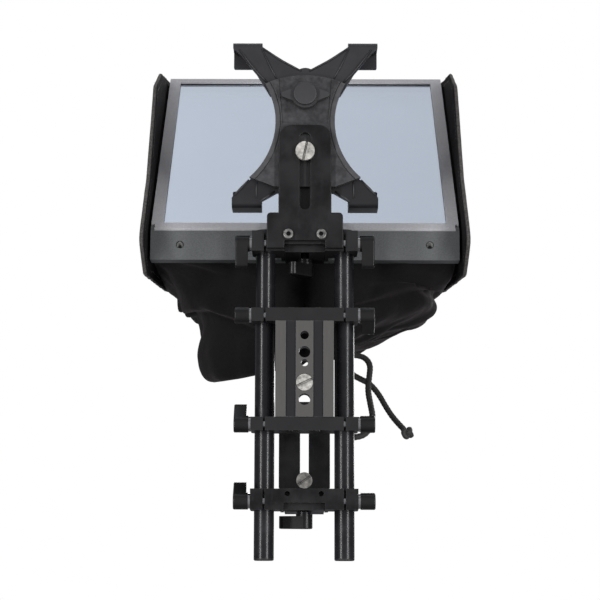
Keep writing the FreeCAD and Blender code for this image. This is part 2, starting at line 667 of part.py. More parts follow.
def glass_stack():
    """The gasket, the glass and the retaining ring, from the frame's lip backwards."""
    gasket = new_body("glass_gasket")
    pad(gasket, "XY", "-lip_thick - gasket_thick", "-lip_thick",
        frame_hole("rebate - 0.2"), frame_hole("0"))
    glass = new_body("glass")
    pad(glass, "XY", "-lip_thick - gasket_thick - glass_thick", "-lip_thick - gasket_thick",
        frame_hole("rebate - 0.4"))
    retainer = new_body("glass_retainer")
    pad(retainer, "XY", "-lip_thick - gasket_thick - glass_thick - retainer_thick",
        "-lip_thick - gasket_thick - glass_thick",
        frame_hole("rebate - 0.2"), frame_hole("rebate - retainer_width"))
    for body in (gasket, glass, retainer):
        stand_on_fold(body)


# ---- hood ------------------------------------------------------------------------------------

def hood_side(label, side):
    """A stiff side board: its lower front edge runs parallel to the glass, ahead of it."""
    body = new_body(label)
    ends = sorted([f"{side}board_inner", f"{side}(board_inner + board_thick)"], key=value)
    pad(body, "YZ", *ends, outline(
        ("-67", "54"), ("-80", "27"), ("-86", "17", "9"), ("-98", "20"), ("-149.5", "66"),
        ("-195", "92"), ("-240", "116"), ("-264", "164"), ("hood_front", "hood_top"),
        ("hood_rear", "hood_top")))
    edge_runs = lambda e: along(e, Vector(1, 0, 0)) and e.BoundBox.ZMax < value("hood_top") - 1
    soften(body, "3", lambda e: edge_runs(e) and e.BoundBox.YMin < -230)
    outside = value("board_inner + 1")
    soften(body, "1.2", lambda e: e.BoundBox.XLength < 0.01 and abs(e.BoundBox.XMax) > outside)


def hood_top():
    body = new_body("hood_top_board")
    pad(body, "XY", "hood_top", "hood_top + board_thick",
        rounded("-board_inner - board_thick", "board_inner + board_thick", "hood_front", "hood_rear", "3"))
    soften(body, "1.2", lambda e: e.BoundBox.ZLength < 0.01 and e.BoundBox.ZMin > value("hood_top + 1"))


def hood_front_band():
    """The cloth strip that closes the gap between the frame's top edge and the top board."""
    body = new_body("hood_front_band")
    pad(body, "XY", "230", "hood_top",
        rectangle("-board_inner", "board_inner", "-272", "band_thick - 272"))


def hood_tapes():
    """Hook-and-loop strips that fill the gap between the frame's sides and the boards."""
    tapes = []
    for side in ("-", ""):
        body = new_body(f"hood_tape_{len(tapes)}")
        ends = sorted([f"{side}rail_half", f"{side}board_inner"], key=value)
        pad(body, "XY", "1.5 - frame_deep", "-1.5", rectangle(*ends, "25", "frame_long - 6"))
        stand_on_fold(body)
        tapes.append(body)
    group("hood_tapes", tapes)


SHROUD_SECTIONS = (
    # y, x from, x to, z from, z to, corner radius, degrees that its +X end is turned to the front
    (-89, -122.9, 122.9, 63.5, 255.5, 8, 0),
    (-68, -116, 113, 66, 230, 56, 0),
    (-46, -92, 97, 67, 210, 46, 3),
    (-25, -86, 70, 68, 190, 46, 9),
    (-12, -82, 41, 70, 172, 46, 12),
)


def shroud_loop(body, section, inset):
    """One rounded section of the sleeve, in from its outside by the inset."""
    y, x_low, x_high, z_low, z_high, corner, turned = section
    loop = sketch_on(body, "XZ", y)
    loop.AttachmentOffset = Placement(Vector(0, 0, -y), Rotation(Vector(0, 1, 0), -turned))
    rounded(x_low + inset, x_high - inset, z_low + inset, z_high - inset, corner - inset)(loop)
    return loop


def hood_shroud():
    """The cloth sleeve behind the hood, open at both ends and narrowing to the lens."""
    body = new_body("hood_shroud")
    for kind, inset in (("Additive", 0), ("Subtractive", value("cloth_thick"))):
        loops = [shroud_loop(body, section, inset) for section in SHROUD_SECTIONS]
        doc.recompute()
        loft = body.newObject(f"PartDesign::{kind}Loft", f"shroud_{kind.lower()}")
        loft.Profile = loops[0]
        loft.Sections = loops[1:]
        loft.Ruled = True
        doc.recompute()


# ---- drawstring --------------------------------------------------------------------------------

LONG_STRAND = ((30.5, -15.6, 88), (35.6, -9.8, 89.5), (42, -9.3, 90), (48, -7.3, 87.3), (52.2, -1, 83),
               (50.9, 9.5, 76.5), (49.4, 20.7, 69), (51.3, 33.3, 61), (53, 44.2, 53),
               (49.6, 55.2, 46.5), (41.5, 60.4, 43), (32.8, 60.2, 41))
SHORT_STRAND = ((33.5, -16.4, 95), (33, -5, 94.5), (36, 4.4, 93), (43.4, 9, 91.4), (51.5, 13, 89),
                (58.6, 22, 84.5), (64.2, 33.4, 78.5), (70.4, 43.8, 72), (77.4, 51.9, 65.5))


def rounded_path(points):
    """Straight runs joined by tangent arcs, each as large as its two runs allow."""
    points = [Vector(*p) for p in points]
    edges, start = [], points[0]
    for before, corner, after in zip(points, points[1:], points[2:]):
        back, ahead = before - corner, after - corner
        bend = math.pi - back.getAngle(ahead)
        reach = 0.45 * min(back.Length, ahead.Length)
        radius = reach / math.tan(bend / 2)
        print(f"  cord arc radius {radius:.1f}, turn {math.degrees(bend):.0f} degrees")
        entry = corner + back.normalize() * reach
        leave = corner + ahead.normalize() * reach
        inward = (back + ahead).normalize()
        middle = corner + inward * (radius / math.cos(bend / 2) - radius)
        edges.append(Part.LineSegment(start, entry).toShape())
        edges.append(Part.Arc(entry, middle, leave).toShape())
        start = leave
    edges.append(Part.LineSegment(start, points[-1]).toShape())
    return Part.Wire(edges)


def cord_tube(label, points):
    """A plain round tube along the strand."""
    path = rounded_path(points)
    radius = value("cord_radius")
    start = Vector(*points[0])
    ring = Part.Wire([Part.Circle(start, Vector(*points[1]) - start, radius).toShape()])
    tube = path.makePipeShell([ring], True, True)
    expected = math.pi * radius ** 2 * path.Length
    print(f"{label}: length {path.Length:.1f}, volume {tube.Volume:.1f} of {expected:.1f}")
    if abs(tube.Volume / expected - 1) > 0.01:
        raise ValueError(f"{label} has the wrong volume")
    thing = doc.addObject("Part::Feature", label)
    thing.Shape = tube
    return keep(thing, label)


def cord_knot(label, points):
    """The knot that stops a strand's end, flat where the cord enters it."""
    body = new_body(label)
    shoulder = "(0.45 * knot_half)"
    turn(body, ("0", "0"), ("knot_end", "0"), ("knot_radius", shoulder),
         ("knot_radius", f"2 * knot_half - {shoulder}"), ("knot_end", "2 * knot_half"),
         ("0", "2 * knot_half"))
    soften(body, "1.2", lambda e: e.BoundBox.XLength > 2 * value("knot_radius") - 0.1)
    last, before = Vector(*points[-1]), Vector(*points[-2])
    body.Placement = Placement(last, Rotation(Vector(0, 0, 1), last - before))


# ---- tablet holder -----------------------------------------------------------------------------

def holder_shell():
    """The hourglass shell on the plate: floor, tongue guides and the bridge over them."""
    top = "(shell_bottom + shell_thick)"
    inner = "(tongue_half + guide_gap)"
    outer = f"({inner} + guide_wall)"
    body = new_body("holder_shell")
    pad(body, "XY", "shell_bottom", top,
        outline(("-23.3", "-126.6"), ("-42.2", "-133.9", "-59"), ("-30.5", "-207.2", "70"),
                ("30.5", "-207.2", "-59"), ("42.2", "-133.9"), ("23.3", "-126.6")),
        circle("0", "knob_y", "spindle_radius + 0.2"),
        circle("0", "tablet_screw_y", "quarter_inch"))
    for side in ("-", ""):
        ends = sorted([f"{side}{inner}", f"{side}{outer}"], key=value)
        pad(body, "XY", top, "guide_high", rectangle(*ends, "guide_front", "guide_rear"))
    pad(body, "XY", "guide_low", "guide_high", rectangle(f"-{outer}", outer, "guide_front", "guide_rear"))
    cut(body, "XY", "shell_bottom - 1", "shell_bottom + 0.9",
        outline(("-21", "-216"), ("21", "-216"), ("18.5", "-188"), ("17.5", "-176"), ("-17.5", "-176"),
                ("-18.5", "-188")))
    return body


def claw(body, side, wall_low, wall_high, lip_low, lip_high, foot):
    """An upright claw with its lip reaching over the tablet's edge."""
    ends = sorted([f"{side}claw_inner", f"{side}claw_outer"], key=value)
    pad(body, "XY", foot, "claw_top", rectangle(*ends, wall_low, wall_high))
    pad(body, "XY", "claw_top - claw_lip", "claw_top", rectangle(*ends, lip_low, lip_high))


def claw_tips(edge, tip_y):
    """Edges along Z at a lip's free end."""
    return along(edge, Vector(0, 0, 1)) and abs(edge.BoundBox.YMax - tip_y) < 0.01


def roll_claw_feet(body, claw_y, foot):
    """Rounds each claw over from its arm's underside to its wall."""
    face, low = value(claw_y), value(foot)
    soften(body, "claw_roll", lambda e: (along(e, Vector(1, 0, 0)) and abs(e.BoundBox.ZMax - low) < 0.01
                                         and abs(e.BoundBox.YMax - face) < 0.01))


def upper_jaw():
    """The sliding jaw: tongue, two arms and two claws."""
    low = "(shell_bottom + shell_thick + guide_gap)"
    body = new_body("upper_jaw")
    pad(body, "XY", low, f"{low} + jaw_thick",
        outline(("-5", "-219.9"), ("-17.9", "-227.7"), ("-claw_inner", "-238"),
                ("-claw_inner", "upper_claw_y"), ("-claw_outer", "upper_claw_y"),
                ("-claw_outer", "-237.5"), ("-52", "-234"), ("-37.4", "-216.4"), ("-27", "-199"),
                ("-tongue_half", "-193"), ("-tongue_half", "tongue_rear"),
                ("tongue_half", "tongue_rear"), ("tongue_half", "-193"), ("27", "-199"),
                ("37.4", "-216.4"), ("52", "-234"), ("claw_outer", "-237.5"),
                ("claw_outer", "upper_claw_y"), ("claw_inner", "upper_claw_y"),
                ("claw_inner", "-238"), ("17.9", "-227.7"), ("5", "-219.9", "-9.6")),
        slot("0", "knob_y", "knob_slot_rear", "spindle_radius + 0.2"))
    for side in ("-", ""):
        claw(body, side, "upper_claw_y", "upper_claw_y + claw_wall",
             "upper_claw_y", "upper_claw_y + lip_reach", low)
    roll_claw_feet(body, "upper_claw_y", low)
    tip = value("upper_claw_y + lip_reach")
    soften(body, "1.2", lambda e: claw_tips(e, tip))


def lower_jaw():
    """The fixed jaw, screwed under the shell's wide end."""
    low = "(shell_bottom + shell_thick)"
    body = new_body("lower_jaw")
    pad(body, "XY", low, f"{low} + jaw_thick",
        outline(("-36", "-139"), ("-claw_outer", "-119"), ("-claw_outer", "lower_claw_y"),
                ("-claw_inner", "lower_claw_y"), ("-claw_inner", "-116"),
                ("-21.3", "-122.6"), ("-12", "-122.6"),
                ("-12", "jaw_tab"), ("12", "jaw_tab"), ("12", "-122.6"), ("21.3", "-122.6"),
                ("claw_inner", "-116"), ("claw_inner", "lower_claw_y"), ("claw_outer", "lower_claw_y"),
                ("claw_outer", "-119"), ("36", "-139")))
    for side in ("-", ""):
        claw(body, side, "lower_claw_y - claw_wall", "lower_claw_y",
             "lower_claw_y - lip_reach", "lower_claw_y", low)
    roll_claw_feet(body, "lower_claw_y", low)
    tip = value("lower_claw_y - lip_reach")
    soften(body, "1.2", lambda e: claw_tips(e, tip))


def claw_pads(label, wall_face, inward):
    """Rubber pads on the inner faces of one jaw's two claws."""
    pads = []
    for side in ("-", ""):
        body = new_body(f"{label}_{len(pads)}")
        across = sorted([f"{side}(claw_inner + 2)", f"{side}(claw_outer - 2)"], key=value)
        along_y = sorted([wall_face, f"{wall_face} + ({inward}) * 1.5"], key=value)
        pad(body, "XY", "12", "claw_top - claw_lip - 1", rectangle(*across, *along_y))
        pads.append(body)
    group(label, pads)


def wing_knob():
    """The knob under the shell that locks the jaw."""
    top = "(shell_bottom + 0.6)"
    body = new_body("wing_knob")
    pad(body, "XY", f"{top} - 7", top, circle("0", "knob_y", "knob_skirt"))
    pad(body, "XY", f"{top} - 10.5", f"{top} - 7", circle("0", "knob_y", "knob_hub"))
    tip = "(wing_half - wing_tip)"
    pad(body, "XY", f"{top} - 7", f"{top} - 2.3",
        outline((tip, "knob_y - wing_tip", "wing_tip"), (tip, "knob_y + wing_tip"),
                ("0", "knob_y + wing_root"), (f"-{tip}", "knob_y + wing_tip", "wing_tip"),
                (f"-{tip}", "knob_y - wing_tip"), ("0", "knob_y - wing_root")))
    cut(body, "XY", f"{top} - 6", f"{top} + 1", circle("0", "knob_y", "spindle_radius"))
    soften(body, "0.8", lambda e: e.BoundBox.ZLength < 0.01 and e.BoundBox.ZMax < value(f"{top} - 10.4"))


def wing_knob_stud():
    """The stud through shell and tongue, with the nut that draws the jaw down."""
    body = new_body("wing_knob_stud")
    nut_low = "(shell_bottom + shell_thick + guide_gap + jaw_thick + 0.2)"
    pad(body, "XY", "shell_bottom - 5.4", f"{nut_low} + 3.4", circle("0", "knob_y", "spindle_radius"))
    pad(body, "XY", nut_low, f"{nut_low} + 3", hexagon("knob_y", "4.8"))


# ---- everything --------------------------------------------------------------------------------

def build():
    fill_sheet()
    base_plate()
    base_bar("base_bar_front", "(base_front - bar_thick)", "(base_front - bar_thick)", "1")
    base_bar("base_bar_rear", "base_rear", "(base_rear + bar_thick)", "-1")
    base_bar_screws()
    slotted_screw("base_screw", "spare_head", "spare_head_high", "8.5",
                  "spare_screw_y", "spare_head_high + 0.3", -25)
    rods()
    rod_end_plugs()
    bracket("front_bracket", "0")
    bracket("rear_bracket", "bracket_step")
    tablet_plate()
    tablet_plate_screws()
    slotted_screw("tablet_screw", "tablet_screw_head", "3.5", "8.5",
                  "tablet_screw_y", "tray_bottom - running_gap", 102)
    camera_plate()
    slotted_screw("camera_screw", "camera_head", "3.5", "11",
                  "camera_screw_y", "camera_bottom - running_gap", -35)
    clamp_levers()
    lock_levers()
    frame_leg()
    lower_rail()
    hinge_pins()
    rail_screws()
    glass_frame()
    glass_stack()
    hood_side("hood_left_board", "-")
    hood_side("hood_right_board", "")
    hood_top()
    hood_front_band()
    hood_tapes()
    hood_shroud()
    cord_tube("drawstring_long", LONG_STRAND)
    cord_tube("drawstring_short", SHORT_STRAND)
    cord_knot("drawstring_long_knot", LONG_STRAND)
    cord_knot("drawstring_short_knot", SHORT_STRAND)
    holder_shell()
    upper_jaw()
    lower_jaw()
    claw_pads("upper_claw_pads", "upper_claw_y + claw_wall", "1")
    claw_pads("lower_claw_pads", "lower_claw_y - claw_wall", "-1")
    wing_knob()
    wing_knob_stud()


def check():
    """Every object recomputed, and every sub-part a sound solid."""
    doc.recompute()
    failed = [o.Name for o in doc.Objects if "Invalid" in o.State or "Error" in o.State]
    if failed:
        raise ValueError(f"failed objects: {failed}")
    for thing in sub_parts:
        shape = thing.Shape
        if shape.isNull() or not shape.isValid() or shape.Volume < 1:
            raise ValueError(f"bad shape: {thing.Label}")


def export():
    os.makedirs("parts", exist_ok=True)
    for thing in sub_parts:
        thing.Shape.exportStep(f"parts/{thing.Label}.step")
    print(f"{len(sub_parts)} sub-parts written")


build()
check()
export()
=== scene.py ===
"""Looks of the rod-mounted teleprompter: finishes, hood fabric, drawstring, holder ribs, light and camera.

Metres, +Z up, the talent's side faces -Y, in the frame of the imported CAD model.
"""
import json
import math
import random
import bpy
from mathutils import Matrix, Vector, geometry, noise
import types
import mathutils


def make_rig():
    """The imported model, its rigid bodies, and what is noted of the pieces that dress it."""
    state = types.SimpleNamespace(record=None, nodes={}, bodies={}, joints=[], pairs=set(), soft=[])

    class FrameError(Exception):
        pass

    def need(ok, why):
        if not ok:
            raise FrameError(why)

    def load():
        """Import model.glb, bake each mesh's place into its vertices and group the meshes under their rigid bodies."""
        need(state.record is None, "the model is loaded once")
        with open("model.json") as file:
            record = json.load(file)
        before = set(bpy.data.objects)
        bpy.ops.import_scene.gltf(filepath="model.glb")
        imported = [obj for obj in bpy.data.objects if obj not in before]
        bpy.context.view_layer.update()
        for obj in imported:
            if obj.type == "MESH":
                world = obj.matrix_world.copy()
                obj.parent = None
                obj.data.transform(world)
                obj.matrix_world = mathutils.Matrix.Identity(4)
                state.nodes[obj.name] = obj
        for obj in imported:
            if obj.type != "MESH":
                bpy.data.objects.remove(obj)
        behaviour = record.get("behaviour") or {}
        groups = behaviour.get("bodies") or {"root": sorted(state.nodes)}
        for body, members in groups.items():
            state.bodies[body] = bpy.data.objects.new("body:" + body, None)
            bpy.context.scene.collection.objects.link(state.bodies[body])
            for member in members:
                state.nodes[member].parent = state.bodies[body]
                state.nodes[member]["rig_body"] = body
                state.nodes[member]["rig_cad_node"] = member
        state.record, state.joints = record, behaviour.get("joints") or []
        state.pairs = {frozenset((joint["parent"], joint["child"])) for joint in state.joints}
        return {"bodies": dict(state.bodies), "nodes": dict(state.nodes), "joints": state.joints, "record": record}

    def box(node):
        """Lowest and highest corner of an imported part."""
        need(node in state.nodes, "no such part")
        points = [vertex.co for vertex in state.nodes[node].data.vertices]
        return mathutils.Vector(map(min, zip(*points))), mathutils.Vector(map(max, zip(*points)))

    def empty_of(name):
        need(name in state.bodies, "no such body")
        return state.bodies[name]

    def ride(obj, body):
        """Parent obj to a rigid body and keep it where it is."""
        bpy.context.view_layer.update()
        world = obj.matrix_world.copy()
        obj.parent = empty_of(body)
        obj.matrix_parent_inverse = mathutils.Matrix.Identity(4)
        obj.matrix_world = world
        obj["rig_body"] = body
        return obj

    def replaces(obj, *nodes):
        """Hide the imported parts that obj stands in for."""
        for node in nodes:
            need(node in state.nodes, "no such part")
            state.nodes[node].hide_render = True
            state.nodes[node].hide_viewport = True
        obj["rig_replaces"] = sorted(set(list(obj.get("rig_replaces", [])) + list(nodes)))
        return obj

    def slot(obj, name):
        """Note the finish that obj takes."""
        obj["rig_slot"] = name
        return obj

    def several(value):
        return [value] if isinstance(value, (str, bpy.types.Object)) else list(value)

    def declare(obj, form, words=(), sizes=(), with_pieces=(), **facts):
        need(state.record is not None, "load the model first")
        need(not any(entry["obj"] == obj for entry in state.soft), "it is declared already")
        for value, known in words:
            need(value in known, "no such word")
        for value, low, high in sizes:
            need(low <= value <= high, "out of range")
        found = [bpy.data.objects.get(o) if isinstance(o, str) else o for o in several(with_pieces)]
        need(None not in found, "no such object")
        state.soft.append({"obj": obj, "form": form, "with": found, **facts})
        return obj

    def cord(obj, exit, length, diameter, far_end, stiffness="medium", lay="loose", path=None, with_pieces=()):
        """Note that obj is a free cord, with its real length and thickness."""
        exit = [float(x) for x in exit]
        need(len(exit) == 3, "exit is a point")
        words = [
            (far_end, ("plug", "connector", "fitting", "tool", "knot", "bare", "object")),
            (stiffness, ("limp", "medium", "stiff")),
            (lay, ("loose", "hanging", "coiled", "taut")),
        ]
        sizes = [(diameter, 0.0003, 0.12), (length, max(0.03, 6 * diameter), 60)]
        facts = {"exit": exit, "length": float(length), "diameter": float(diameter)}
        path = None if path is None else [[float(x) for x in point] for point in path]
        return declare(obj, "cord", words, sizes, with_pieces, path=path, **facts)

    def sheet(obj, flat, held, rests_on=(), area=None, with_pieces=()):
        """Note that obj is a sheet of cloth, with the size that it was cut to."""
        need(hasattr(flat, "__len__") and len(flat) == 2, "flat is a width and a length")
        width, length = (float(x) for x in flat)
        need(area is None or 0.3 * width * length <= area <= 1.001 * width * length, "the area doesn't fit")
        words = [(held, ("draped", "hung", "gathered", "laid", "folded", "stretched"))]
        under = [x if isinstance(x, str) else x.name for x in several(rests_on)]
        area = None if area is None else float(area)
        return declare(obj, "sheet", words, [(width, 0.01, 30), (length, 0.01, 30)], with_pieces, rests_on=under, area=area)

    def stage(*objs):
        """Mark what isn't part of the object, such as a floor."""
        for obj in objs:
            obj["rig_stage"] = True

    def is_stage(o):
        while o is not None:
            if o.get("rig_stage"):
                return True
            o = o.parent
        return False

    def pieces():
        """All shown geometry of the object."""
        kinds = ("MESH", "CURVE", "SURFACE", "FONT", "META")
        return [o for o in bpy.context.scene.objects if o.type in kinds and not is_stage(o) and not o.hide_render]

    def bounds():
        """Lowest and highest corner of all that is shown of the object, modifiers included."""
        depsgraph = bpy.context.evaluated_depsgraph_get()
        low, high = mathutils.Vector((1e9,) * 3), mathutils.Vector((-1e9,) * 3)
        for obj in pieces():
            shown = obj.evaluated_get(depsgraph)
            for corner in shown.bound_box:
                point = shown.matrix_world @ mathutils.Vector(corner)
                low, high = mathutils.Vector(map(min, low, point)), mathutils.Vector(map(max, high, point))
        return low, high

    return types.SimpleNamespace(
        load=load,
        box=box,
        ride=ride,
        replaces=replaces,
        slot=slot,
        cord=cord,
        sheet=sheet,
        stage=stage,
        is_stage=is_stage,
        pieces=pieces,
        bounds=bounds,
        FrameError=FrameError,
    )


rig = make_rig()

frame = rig.load()
cad_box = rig.bounds()

MM = 0.001
SIZE_FILE = "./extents.json"


# ---- small tools -----------------------------------------------------------------------------

def add_mesh(name, points, faces, material):
    """A smooth-shaded piece from points in metres."""
    mesh = bpy.data.meshes.new(name)
    mesh.from_pydata([tuple(p) for p in points], [], faces)
    mesh.shade_smooth()
    mesh.materials.append(material)
    piece = bpy.data.objects.new(name, mesh)
    bpy.context.scene.collection.objects.link(piece)
    return piece


def ring_faces(rings, around):
    """Faces between closed rings of points, each with the same number around."""
    faces = []
    for ring in range(rings - 1):
        for step in range(around):
            after = (step + 1) % around
            faces.append((ring * around + step, ring * around + after,
                          (ring + 1) * around + after, (ring + 1) * around + step))
    return faces


def smoothstep(low, high, x):
    t = min(max((x - low) / (high - low), 0), 1)
    return t * t * (3 - 2 * t)


# ---- node tools ------------------------------------------------------------------------------

def add_node(tree, kind, inputs=None, **settings):
    """A shader node, its sockets either linked to another node's output or set to a value."""
    node = tree.nodes.new(kind)
    for name, value in settings.items():
        setattr(node, name, value)
    for socket, value in (inputs or {}).items():
        if isinstance(value, bpy.types.NodeSocket):
            tree.links.new(value, node.inputs[socket])
        else:
            node.inputs[socket].default_value = value
    return node


class Finish:
    """A Principled material whose plain values sit on the shader's own sockets."""

    def __init__(self, name, colour, roughness, metallic=0.0, **sockets):
        self.material = bpy.data.materials.new(name)
        self.material.use_nodes = True
        self.tree = self.material.node_tree
        self.shader = self.tree.nodes["Principled BSDF"]
        self.colour = colour
        self.set("Base Color", (*colour, 1))
        self.set("Roughness", roughness)
        self.set("Metallic", metallic)
        for socket, value in sockets.items():
            self.set(socket.replace("_", " "), value)
        self.place = self.add("ShaderNodeTexCoord").outputs["Object"]
        self.height = None

    def set(self, socket, value):
        self.shader.inputs[socket].default_value = value

    def add(self, kind, inputs=None, **settings):
        return add_node(self.tree, kind, inputs, **settings)

    def link(self, output, socket):
        self.tree.links.new(output, self.shader.inputs[socket])

    def math(self, operation, first, second=0.0):
        return self.add("ShaderNodeMath", {0: first, 1: second}, operation=operation).outputs[0]

    def axes(self):
        """The piece's own X, Y and Z as three outputs."""
        return self.add("ShaderNodeSeparateXYZ", {0: self.place}).outputs

    def distance(self, first, second):
        """How far a point is from another, from its distances along two square directions."""
        squares = self.math("ADD", self.math("MULTIPLY", first, first),
                            self.math("MULTIPLY", second, second))
        return self.math("SQRT", squares)

    def stretched(self, scale, turn=(0, 0, 0)):
        """The piece's own coordinates, scaled along each axis."""
        return self.add("ShaderNodeMapping", {"Vector": self.place, "Scale": scale,
                                              "Rotation": turn}).outputs[0]

    def noise(self, scale, detail=2.0, rough=0.5, place=None):
        return self.add("ShaderNodeTexNoise", {"Vector": place or self.place, "Scale": scale,
                                               "Detail": detail, "Roughness": rough}).outputs["Fac"]

    def cells(self, scale, place=None):
        return self.add("ShaderNodeTexVoronoi", {"Vector": place or self.place,
                                                 "Scale": scale}).outputs["Distance"]

    def ramp(self, factor, *stops):
        """A soft ramp between (position, grey) stops."""
        node = self.add("ShaderNodeValToRGB", {"Fac": factor})
        marks = node.color_ramp.elements
        while len(marks) < len(stops):
            marks.new(0.5)
        for mark, (position, grey) in zip(marks, stops):
            mark.position = position
            mark.color = (grey, grey, grey, 1)
        return node.outputs["Color"]

    def mix(self, factor, first, second):
        """One colour over another by a factor."""
        below, above = (c if isinstance(c, bpy.types.NodeSocket) else (*c, 1) for c in (first, second))
        return self.add("ShaderNodeMix", {0: factor, 6: below, 7: above}, data_type="RGBA").outputs[2]

    def tint(self, factor, dark, light):
        """The base colour varies between two shades of the finish's own colour."""
        self.base = self.mix(factor, [c * dark for c in self.colour], [c * light for c in self.colour])
        self.link(self.base, "Base Color")
        return self.base

    def rough(self, factor, low, high):
        spread = self.add("ShaderNodeMapRange", {"Value": factor, "To Min": low, "To Max": high})
        self.link(spread.outputs[0], "Roughness")

    def bump(self, height, distance, strength=1.0):
        """Adds a relief on top of the reliefs already there."""
        inputs = {"Height": height, "Distance": distance, "Strength": strength}
        if self.height is not None:
            inputs["Normal"] = self.height
        self.height = self.add("ShaderNodeBump", inputs).outputs["Normal"]
        self.link(self.height, "Normal")

    def edges(self, radius, reach=0.35):
        """How near a point is to an outer edge, from the difference that rounding makes there."""
        bevel = self.add("ShaderNodeBevel", {"Radius": radius}, samples=4).outputs["Normal"]
        true_normal = self.add("ShaderNodeNewGeometry").outputs["Normal"]
        even = self.add("ShaderNodeVectorMath", {0: bevel, 1: true_normal},
                        operation="DOT_PRODUCT").outputs["Value"]
        return self.ramp(self.math("SUBTRACT", 1.0, even), (0.01, 0), (reach, 1))

    def wear(self, colour, radius, share):
        """Rubbed edges: another colour in broken patches along them."""
        broken = self.ramp(self.noise(450, 4, 0.6), (0.35, 0), (0.65, 1))
        worn = self.math("MULTIPLY", self.math("MULTIPLY", self.edges(radius), broken), share)
        self.link(self.mix(worn, getattr(self, "base", self.colour), colour), "Base Color")


# ---- finishes of the metal parts -------------------------------------------------------------

def anodised(name, grey, roughness, worn=0.25):
    """Bead-blasted black anodising with rubbed edges."""
    finish = Finish(name, (grey, grey, grey * 1.06), roughness, 0.35, Specular_IOR_Level=0.5)
    blotch = finish.noise(60, 3)
    finish.tint(blotch, 0.82, 1.18)
    finish.rough(blotch, roughness - 0.06, roughness + 0.06)
    finish.bump(finish.noise(2600, 2), 0.00002, 0.5)
    finish.wear((0.30, 0.30, 0.31), 0.0004, worn)
    return finish.material


def rubbed_plate():
    """Satin black plates: cloudy handling marks, fine scuffs along them and pale rims, partly rubbed wear and partly a
    painted edge highlight.
    """
    finish = Finish("rubbed_plate_black", (0.0058, 0.0058, 0.0066), 0.36, 0.1, Specular_IOR_Level=0.45)
    clouds = finish.ramp(finish.noise(42, 4, 0.6), (0.36, 0), (0.66, 1))
    scuffs = finish.ramp(finish.noise(1.0, 4, 0.7, finish.stretched((260, 90, 260))), (0.52, 0), (0.70, 1))
    marks = finish.math("MAXIMUM", finish.math("MULTIPLY", clouds, 0.45),
                        finish.math("MULTIPLY", scuffs, 0.8))
    finish.tint(marks, 0.55, 2.3)
    finish.rough(clouds, 0.30, 0.52)
    finish.bump(finish.noise(1700, 2), 0.000015, 0.5)
    # pale rims: rubbed wear and a painted highlight along the plates' edges
    finish.wear((0.16, 0.16, 0.165), 0.0005, 0.55)
    return finish.material


def milled_grey():
    """The base plate: milled lands with fine cutter lines along them and a satin anodised grey."""
    finish = Finish("milled_grey", (0.105, 0.102, 0.098), 0.36, 0.3)
    lines = finish.noise(1.0, 3, 0.6, finish.stretched((2200, 45, 2200)))
    grain = finish.tint(lines, 0.86, 1.14)
    # painted shade: the sunk grooves are painted far darker than the lands
    height = finish.axes()["Z"]
    sunk = finish.ramp(finish.math("MULTIPLY", height, 1000.0), (0.3, 0), (0.7, 1))
    finish.base = finish.mix(sunk, grain, (0.020, 0.020, 0.023))
    finish.rough(lines, 0.30, 0.44)
    finish.bump(lines, 0.00002, 0.5)
    finish.wear((0.45, 0.45, 0.45), 0.0004, 0.5)
    return finish.material


def gloss_rod(name):
    """Gloss black anodising on the rods and the lock studs, with faint rubbed patches."""
    finish = Finish(name, (0.010, 0.010, 0.012), 0.22, 0.1, Specular_IOR_Level=0.5)
    drawn = finish.noise(1.0, 2, 0.5, finish.stretched((300, 6, 300)))
    rubbed = finish.ramp(finish.noise(1.0, 3, 0.6, finish.stretched((40, 55, 40))), (0.45, 0), (0.70, 1))
    finish.tint(rubbed, 1.0, 1.8)
    finish.rough(rubbed, 0.24, 0.32)
    finish.bump(drawn, 0.000004, 0.1)
    return finish.material


def black_steel():
    """Screws with black oxide, slightly oily."""
    finish = Finish("black_steel", (0.030, 0.029, 0.030), 0.34, 0.8)
    oily = finish.noise(220, 3)
    finish.tint(oily, 0.7, 1.3)
    finish.rough(oily, 0.26, 0.44)
    finish.bump(finish.noise(1800, 2), 0.00001, 0.5)
    finish.wear((0.30, 0.29, 0.28), 0.0003, 0.5)
    return finish.material


def turned_steel(name, centre, slot_angle, grey=0.62):
    """Nickel-plated steel with turning rings about its centre and painted shade along the edges of the screw's slot.
    """
    finish = Finish(name, (grey, grey * 0.97, grey * 0.90), 0.25, 0.55)
    middle = finish.add("ShaderNodeVectorMath", {0: finish.place, 1: centre},
                        operation="SUBTRACT").outputs[0]
    rings = finish.add("ShaderNodeTexWave", {"Vector": middle, "Scale": 420.0, "Distortion": 1.2,
                                             "Detail": 2.0, "Detail Scale": 0.4},
                       wave_type="RINGS", rings_direction="Z").outputs["Fac"]
    smears = finish.ramp(finish.noise(230, 4, 0.6), (0.36, 0), (0.64, 1))
    shade = finish.tint(smears, 0.62, 1.30)
    turn = math.radians(slot_angle)
    aside = finish.add("ShaderNodeVectorMath", {0: middle, 1: (-math.sin(turn), math.cos(turn), 0)},
                       operation="DOT_PRODUCT").outputs["Value"]
    aside = finish.math("MULTIPLY", finish.math("ABSOLUTE", aside), 400.0)
    # painted shade: a dark line along both edges of the slot, and a lighter dark in its middle
    slot_shade = finish.ramp(aside, (0.16, 0.35), (0.24, 1), (0.32, 1), (0.38, 0))
    finish.base = finish.mix(finish.math("MULTIPLY", slot_shade, 0.85), shade, (0.02, 0.019, 0.017))
    finish.rough(smears, 0.26, 0.42)
    finish.bump(rings, 0.00002, 0.5)
    finish.wear((0.20, 0.19, 0.17), 0.0004, 0.7)
    return finish.material


